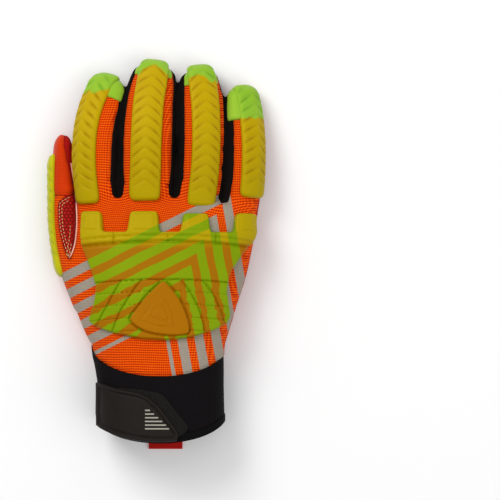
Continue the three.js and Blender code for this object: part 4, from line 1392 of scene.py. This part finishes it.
def filmMaterial():
    s = Shader("orange_film", Roughness=0.5)
    s.surface.inputs["Specular IOR Level"].default_value = 0.22
    s.surface.inputs["Specular Tint"].default_value = (1.0, 0.4, 0.12, 1.0)
    x, y, z = s.axes()
    slant = s.plus(s.times(y, 0.86), s.times(z, -0.9))
    near = s.math("ABSOLUTE", s.minus(s.math("FRACT", s.math("DIVIDE", slant, weave["filmBand"] * mm)), 0.5))
    band = s.minus(1.0, s.ramp(near, 0.24, 0.26))
    under = s.minus(1.0, s.ramp(z, 9 * mm, 10 * mm))
    band = s.times(band, under)
    base = s.mix(s.noise(45, 2), srgb(204, 54, 6), srgb(184, 42, 6))
    s.colour(s.mix(band, base, srgb(158, 148, 134)))
    s.bump(s.wave(y, weave["filmRow"]), 0.08)
    return s.material


def suedeMaterial(name, dark, light, nap=0.16):
    s = Shader(name, Roughness=0.93)
    s.surface.inputs["Specular IOR Level"].default_value = 0.1
    s.surface.inputs["Sheen Weight"].default_value = 0.12
    s.surface.inputs["Sheen Roughness"].default_value = 0.45
    sheen = srgb(255, 120, 100) if light[0] > 0.2 else srgb(120, 110, 110)
    s.surface.inputs["Sheen Tint"].default_value = sheen
    cloud = s.noise(26, 4)
    fibre = s.noise(1500, 3)
    tone = s.plus(s.times(cloud, 0.6), s.times(fibre, 0.4))
    body = s.mix(s.ramp(tone, 0.3, 0.7), dark, light)
    # Painted shade: the cloth is darkened near its seams, where the panel rolls down
    s.colour(s.mix(s.times(s.attribute("seam"), 0.5), body, dark))
    s.bump(s.plus(fibre, s.times(s.noise(420, 2), 0.8)), nap)
    return s.material


def gripMaterial(name, valley, dark, light):
    s = Shader(name, Roughness=0.6)
    s.surface.inputs["Specular IOR Level"].default_value = 0.18
    s.surface.inputs["Specular Tint"].default_value = (1.0, 0.4, 0.3, 1.0)
    x, y, z = s.axes()
    pitch = patchForm["cell"] * mm
    k = 2 * math.pi / (pitch * 0.866)
    waves = None
    for angle in (0, 60, 120):
        a = math.radians(angle)
        phase = s.plus(s.times(x, k * math.sin(a)), s.times(y, k * math.cos(a)))
        wave = s.math("COSINE", phase)
        waves = wave if waves is None else s.plus(waves, wave)
    dots = s.ramp(waves, -1.1, 1.1)
    flat = s.attribute("seam")
    dots = s.times(dots, s.minus(1.0, s.times(flat, 0.8)))
    # Painted shade: the hollows between the cells, and the flattened rim, take the darker valley colour
    s.colour(s.mix(dots, valley, s.mix(s.noise(30, 3), light, dark)))
    s.bump(s.plus(s.noise(900, 2), s.times(dots, 0.8)), 0.12)
    return s.material


def stretchMaterial():
    s = Shader("black_stretch", Roughness=0.9)
    s.surface.inputs["Specular IOR Level"].default_value = 0.12
    x, y, z = s.axes()
    rib = s.wave(s.plus(x, z), weave["stretchRib"])
    row = s.wave(y, weave["stretchRow"])
    s.colour(s.mix(s.noise(120, 3), srgb(6, 4, 3), srgb(17, 12, 10)))
    s.bump(s.plus(rib, s.times(row, 0.5)), 0.12)
    return s.material


# Lime rubber with the cloth showing through it
def guardMaterial(name, through):
    s = Shader(name, Roughness=0.45)
    s.surface.inputs["Specular IOR Level"].default_value = 0.28
    s.surface.inputs["Specular Tint"].default_value = (1.0, 0.72, 0.12, 1.0)
    s.surface.inputs["Subsurface Weight"].default_value = 0.1
    s.surface.inputs["Subsurface Radius"].default_value = (0.004, 0.004, 0.001)
    s.surface.inputs["Subsurface Scale"].default_value = 0.6
    x, y, z = s.axes()
    cloudy = s.noise(38, 3)
    if through == "finger":
        low = s.ramp(y, 40 * mm, 110 * mm)
        body = s.mix(low, srgb(168, 146, 2), srgb(184, 156, 6))
        # Painted shade: the rib grooves take a darker colour
        body = s.mix(s.times(s.attribute("groove"), 0.6), body, srgb(156, 120, 3))
        edge = s.plus(s.attribute("pastCloth"), s.times(s.minus(s.noise(160, 2), 0.5), 7))
        tip = s.ramp(edge, -0.8, 0.8)
        green = s.mix(cloudy, srgb(122, 176, 32), srgb(152, 190, 62))
        # Painted shade: the rib grooves of the lime tip take a darker colour
        green = s.mix(s.times(s.attribute("groove"), 0.6), green, srgb(104, 160, 38))
        s.colour(s.mix(tip, body, green))
    elif through == "thumb":
        body = s.mix(cloudy, srgb(190, 190, 22), srgb(174, 172, 18))
        # Painted shade: the thumb guard's rib grooves take a darker colour
        s.colour(s.mix(s.times(s.attribute("groove"), 0.6), body, srgb(150, 160, 28)))
    else:
        band = stripeMask(s, 2.2)
        upper = s.ramp(y, 4 * mm, 12 * mm)
        overKnit = s.mix(upper, s.mix(cloudy, srgb(160, 94, 2), srgb(150, 102, 2)), srgb(170, 148, 4))
        overSilver = s.mix(cloudy, srgb(112, 138, 3), srgb(128, 158, 8))
        s.colour(s.mix(s.attribute("wedge"), s.mix(band, overKnit, overSilver), srgb(160, 98, 1)))
    s.rough(s.plus(0.38, s.times(s.noise(300, 2), 0.12)))
    s.bump(s.plus(s.noise(260, 3), s.times(s.noise(900, 2), 0.3)), 0.09)
    return s.material


def plainMaterial(name, dark, light, roughness, size, bumpBy, gloss=0.12):
    s = Shader(name, Roughness=roughness)
    s.surface.inputs["Specular IOR Level"].default_value = gloss
    texture = s.noise(size, 4)
    s.colour(s.mix(texture, dark, light))
    s.bump(s.noise(size * 3, 3), bumpBy)
    return s.material


def webbingMaterial():
    s = Shader("red_webbing", Roughness=0.82)
    s.surface.inputs["Specular IOR Level"].default_value = 0.12
    x, y, z = s.axes()
    crossing = s.times(s.wave(x, weave["warp"]), s.wave(y, weave["weft"]))
    s.colour(s.mix(s.ramp(crossing, -0.8, 0.6), srgb(176, 18, 14), srgb(212, 32, 26)))
    s.bump(crossing, 0.2)
    return s.material


knit, film = knitMaterial(), filmMaterial()
suede = suedeMaterial("red_suede", srgb(140, 12, 9), srgb(182, 23, 17))
touch = suedeMaterial("touch_suede", srgb(14, 11, 12), srgb(30, 25, 26), 0.1)
grip = gripMaterial("red_grip", srgb(160, 14, 12), srgb(204, 30, 24), srgb(218, 40, 28))
# The web patch's grip is a darker copy of the palm grip: painted shadow, as the first finger shades it
webGripPaintedShadow = gripMaterial("grip_painted_shadow", srgb(112, 8, 7), srgb(160, 20, 15), srgb(178, 28, 20))
stretch = stretchMaterial()
fingerRubber, thumbRubber = guardMaterial("finger_rubber", "finger"), guardMaterial("thumb_rubber", "thumb")
knuckleRubber = guardMaterial("knuckle_rubber", "knuckle")
neoprene = plainMaterial("neoprene", srgb(9, 7, 9), srgb(16, 13, 15), 0.85, 500, 0.08, 0.08)
bindingCloth = plainMaterial("binding_cloth", srgb(7, 6, 7), srgb(15, 13, 14), 0.9, 900, 0.16, 0.08)
strapRubber = plainMaterial("strap_rubber", srgb(21, 17, 14), srgb(29, 24, 20), 0.55, 240, 0.05, 0.12)
pile = plainMaterial("hook_pile", srgb(6, 6, 6), srgb(44, 43, 41), 1.0, 1300, 0.8)
barPrint = plainMaterial("bar_print", srgb(150, 146, 134), srgb(170, 166, 152), 0.6, 400, 0.03)
threadCream = plainMaterial("cream_thread", srgb(214, 170, 104), srgb(244, 214, 158), 0.75, 2500, 0.12)
threadGrey = plainMaterial("grey_thread", srgb(150, 142, 124), srgb(186, 178, 156), 0.75, 2500, 0.12)
threadRed = plainMaterial("red_thread", srgb(110, 10, 14), srgb(150, 20, 22), 0.75, 2500, 0.12)
pale = plainMaterial("pale_edge", srgb(228, 150, 132), srgb(246, 196, 180), 0.7, 900, 0.08)
webbing = webbingMaterial()

dress = [
    (backPanel, knit, "orange_knit"), (palmPanel, suede, "red_suede"), (gussets, stretch, "black_knit"),
    (thumbCap, film, "orange_film"), (palmPatch, grip, "red_grip"), (webPatch, webGripPaintedShadow, "red_grip"),
    (touchTip, touch, "touch_cloth"), (knucklePiece, knuckleRubber, "guard_rubber"),
    (cuff, neoprene, "neoprene"), (binding, bindingCloth, "binding"), (strap, strapRubber, "strap_rubber"),
    (hookPad, pile, "hook_cloth"), (strapBars, barPrint, "strap_rubber"),
    (tipHoods, fingerRubber, "guard_rubber"), (pullTab, webbing, "webbing"),
    (palmStitches, threadCream, "red_grip"), (channelStitches, threadCream, "red_grip"),
    (fancyStitches, threadCream, "red_grip"), (webStitches, threadCream, "red_grip"),
    (touchStitches, threadGrey, "touch_cloth"), (tabStitches, threadRed, "webbing"),
    (piping, pale, "orange_knit"),
]
for key, piece in guardPieces.items():
    dress.append((piece, thumbRubber if key == "thumb" else fingerRubber, "guard_rubber"))
drop(outerSkin, patchOuter)
for piece, material, slotName in dress:
    piece.data.materials.clear()
    piece.data.materials.append(material)
    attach(piece, "root")
print("materials set")


stage = {"pixel": 0.69, "middle": (66.2, 0.0), "height": 25.0, "lens": 300.0}

bpy.ops.mesh.primitive_plane_add(size=6, location=(0, 0, 0))
floor = bpy.context.object
floor.name = "floor"
floorShader = Shader("pale_floor", Roughness=0.9)
floorShader.colour(floorShader.mix(floorShader.noise(3, 2), srgb(244, 244, 244), srgb(248, 248, 248)))
floor.data.materials.append(floorShader.material)

bpy.context.scene.view_settings.view_transform = "Standard"
world = bpy.data.worlds.new("studio")
bpy.context.scene.world = world
world.use_nodes = True
world.node_tree.nodes["Background"].inputs[0].default_value = (1, 1, 1, 1)
world.node_tree.nodes["Background"].inputs[1].default_value = 0.5


def softLight(name, location, size, watts, target=(0, 0, 0.02)):
    data = bpy.data.lights.new(name, "AREA")
    data.size = size
    data.energy = watts
    light = bpy.data.objects.new(name, data)
    bpy.context.collection.objects.link(light)
    light.location = location
    light.rotation_euler = (Vector(target) - Vector(location)).to_track_quat("-Z", "Y").to_euler()


softLight("keyLight", (-0.55, 0.75, 1.1), 0.7, 10.5)
softLight("fillLight", (0.9, -0.4, 1.2), 1.2, 5.5)
softLight("topLight", (0.0, 0.1, 1.6), 1.0, 3.5)

camera = bpy.data.cameras.new("camera")
camera.lens = stage["lens"]
camera.sensor_width = 36
view = bpy.data.objects.new("camera", camera)
bpy.context.collection.objects.link(view)
distance = 500 * stage["pixel"] * stage["lens"] / 36 + stage["height"]
view.location = ((stage["middle"][0] + shift[0]) * mm, (stage["middle"][1] + shift[1]) * mm, distance * mm)
view.rotation_euler = (0, 0, 0)
bpy.context.scene.camera = view
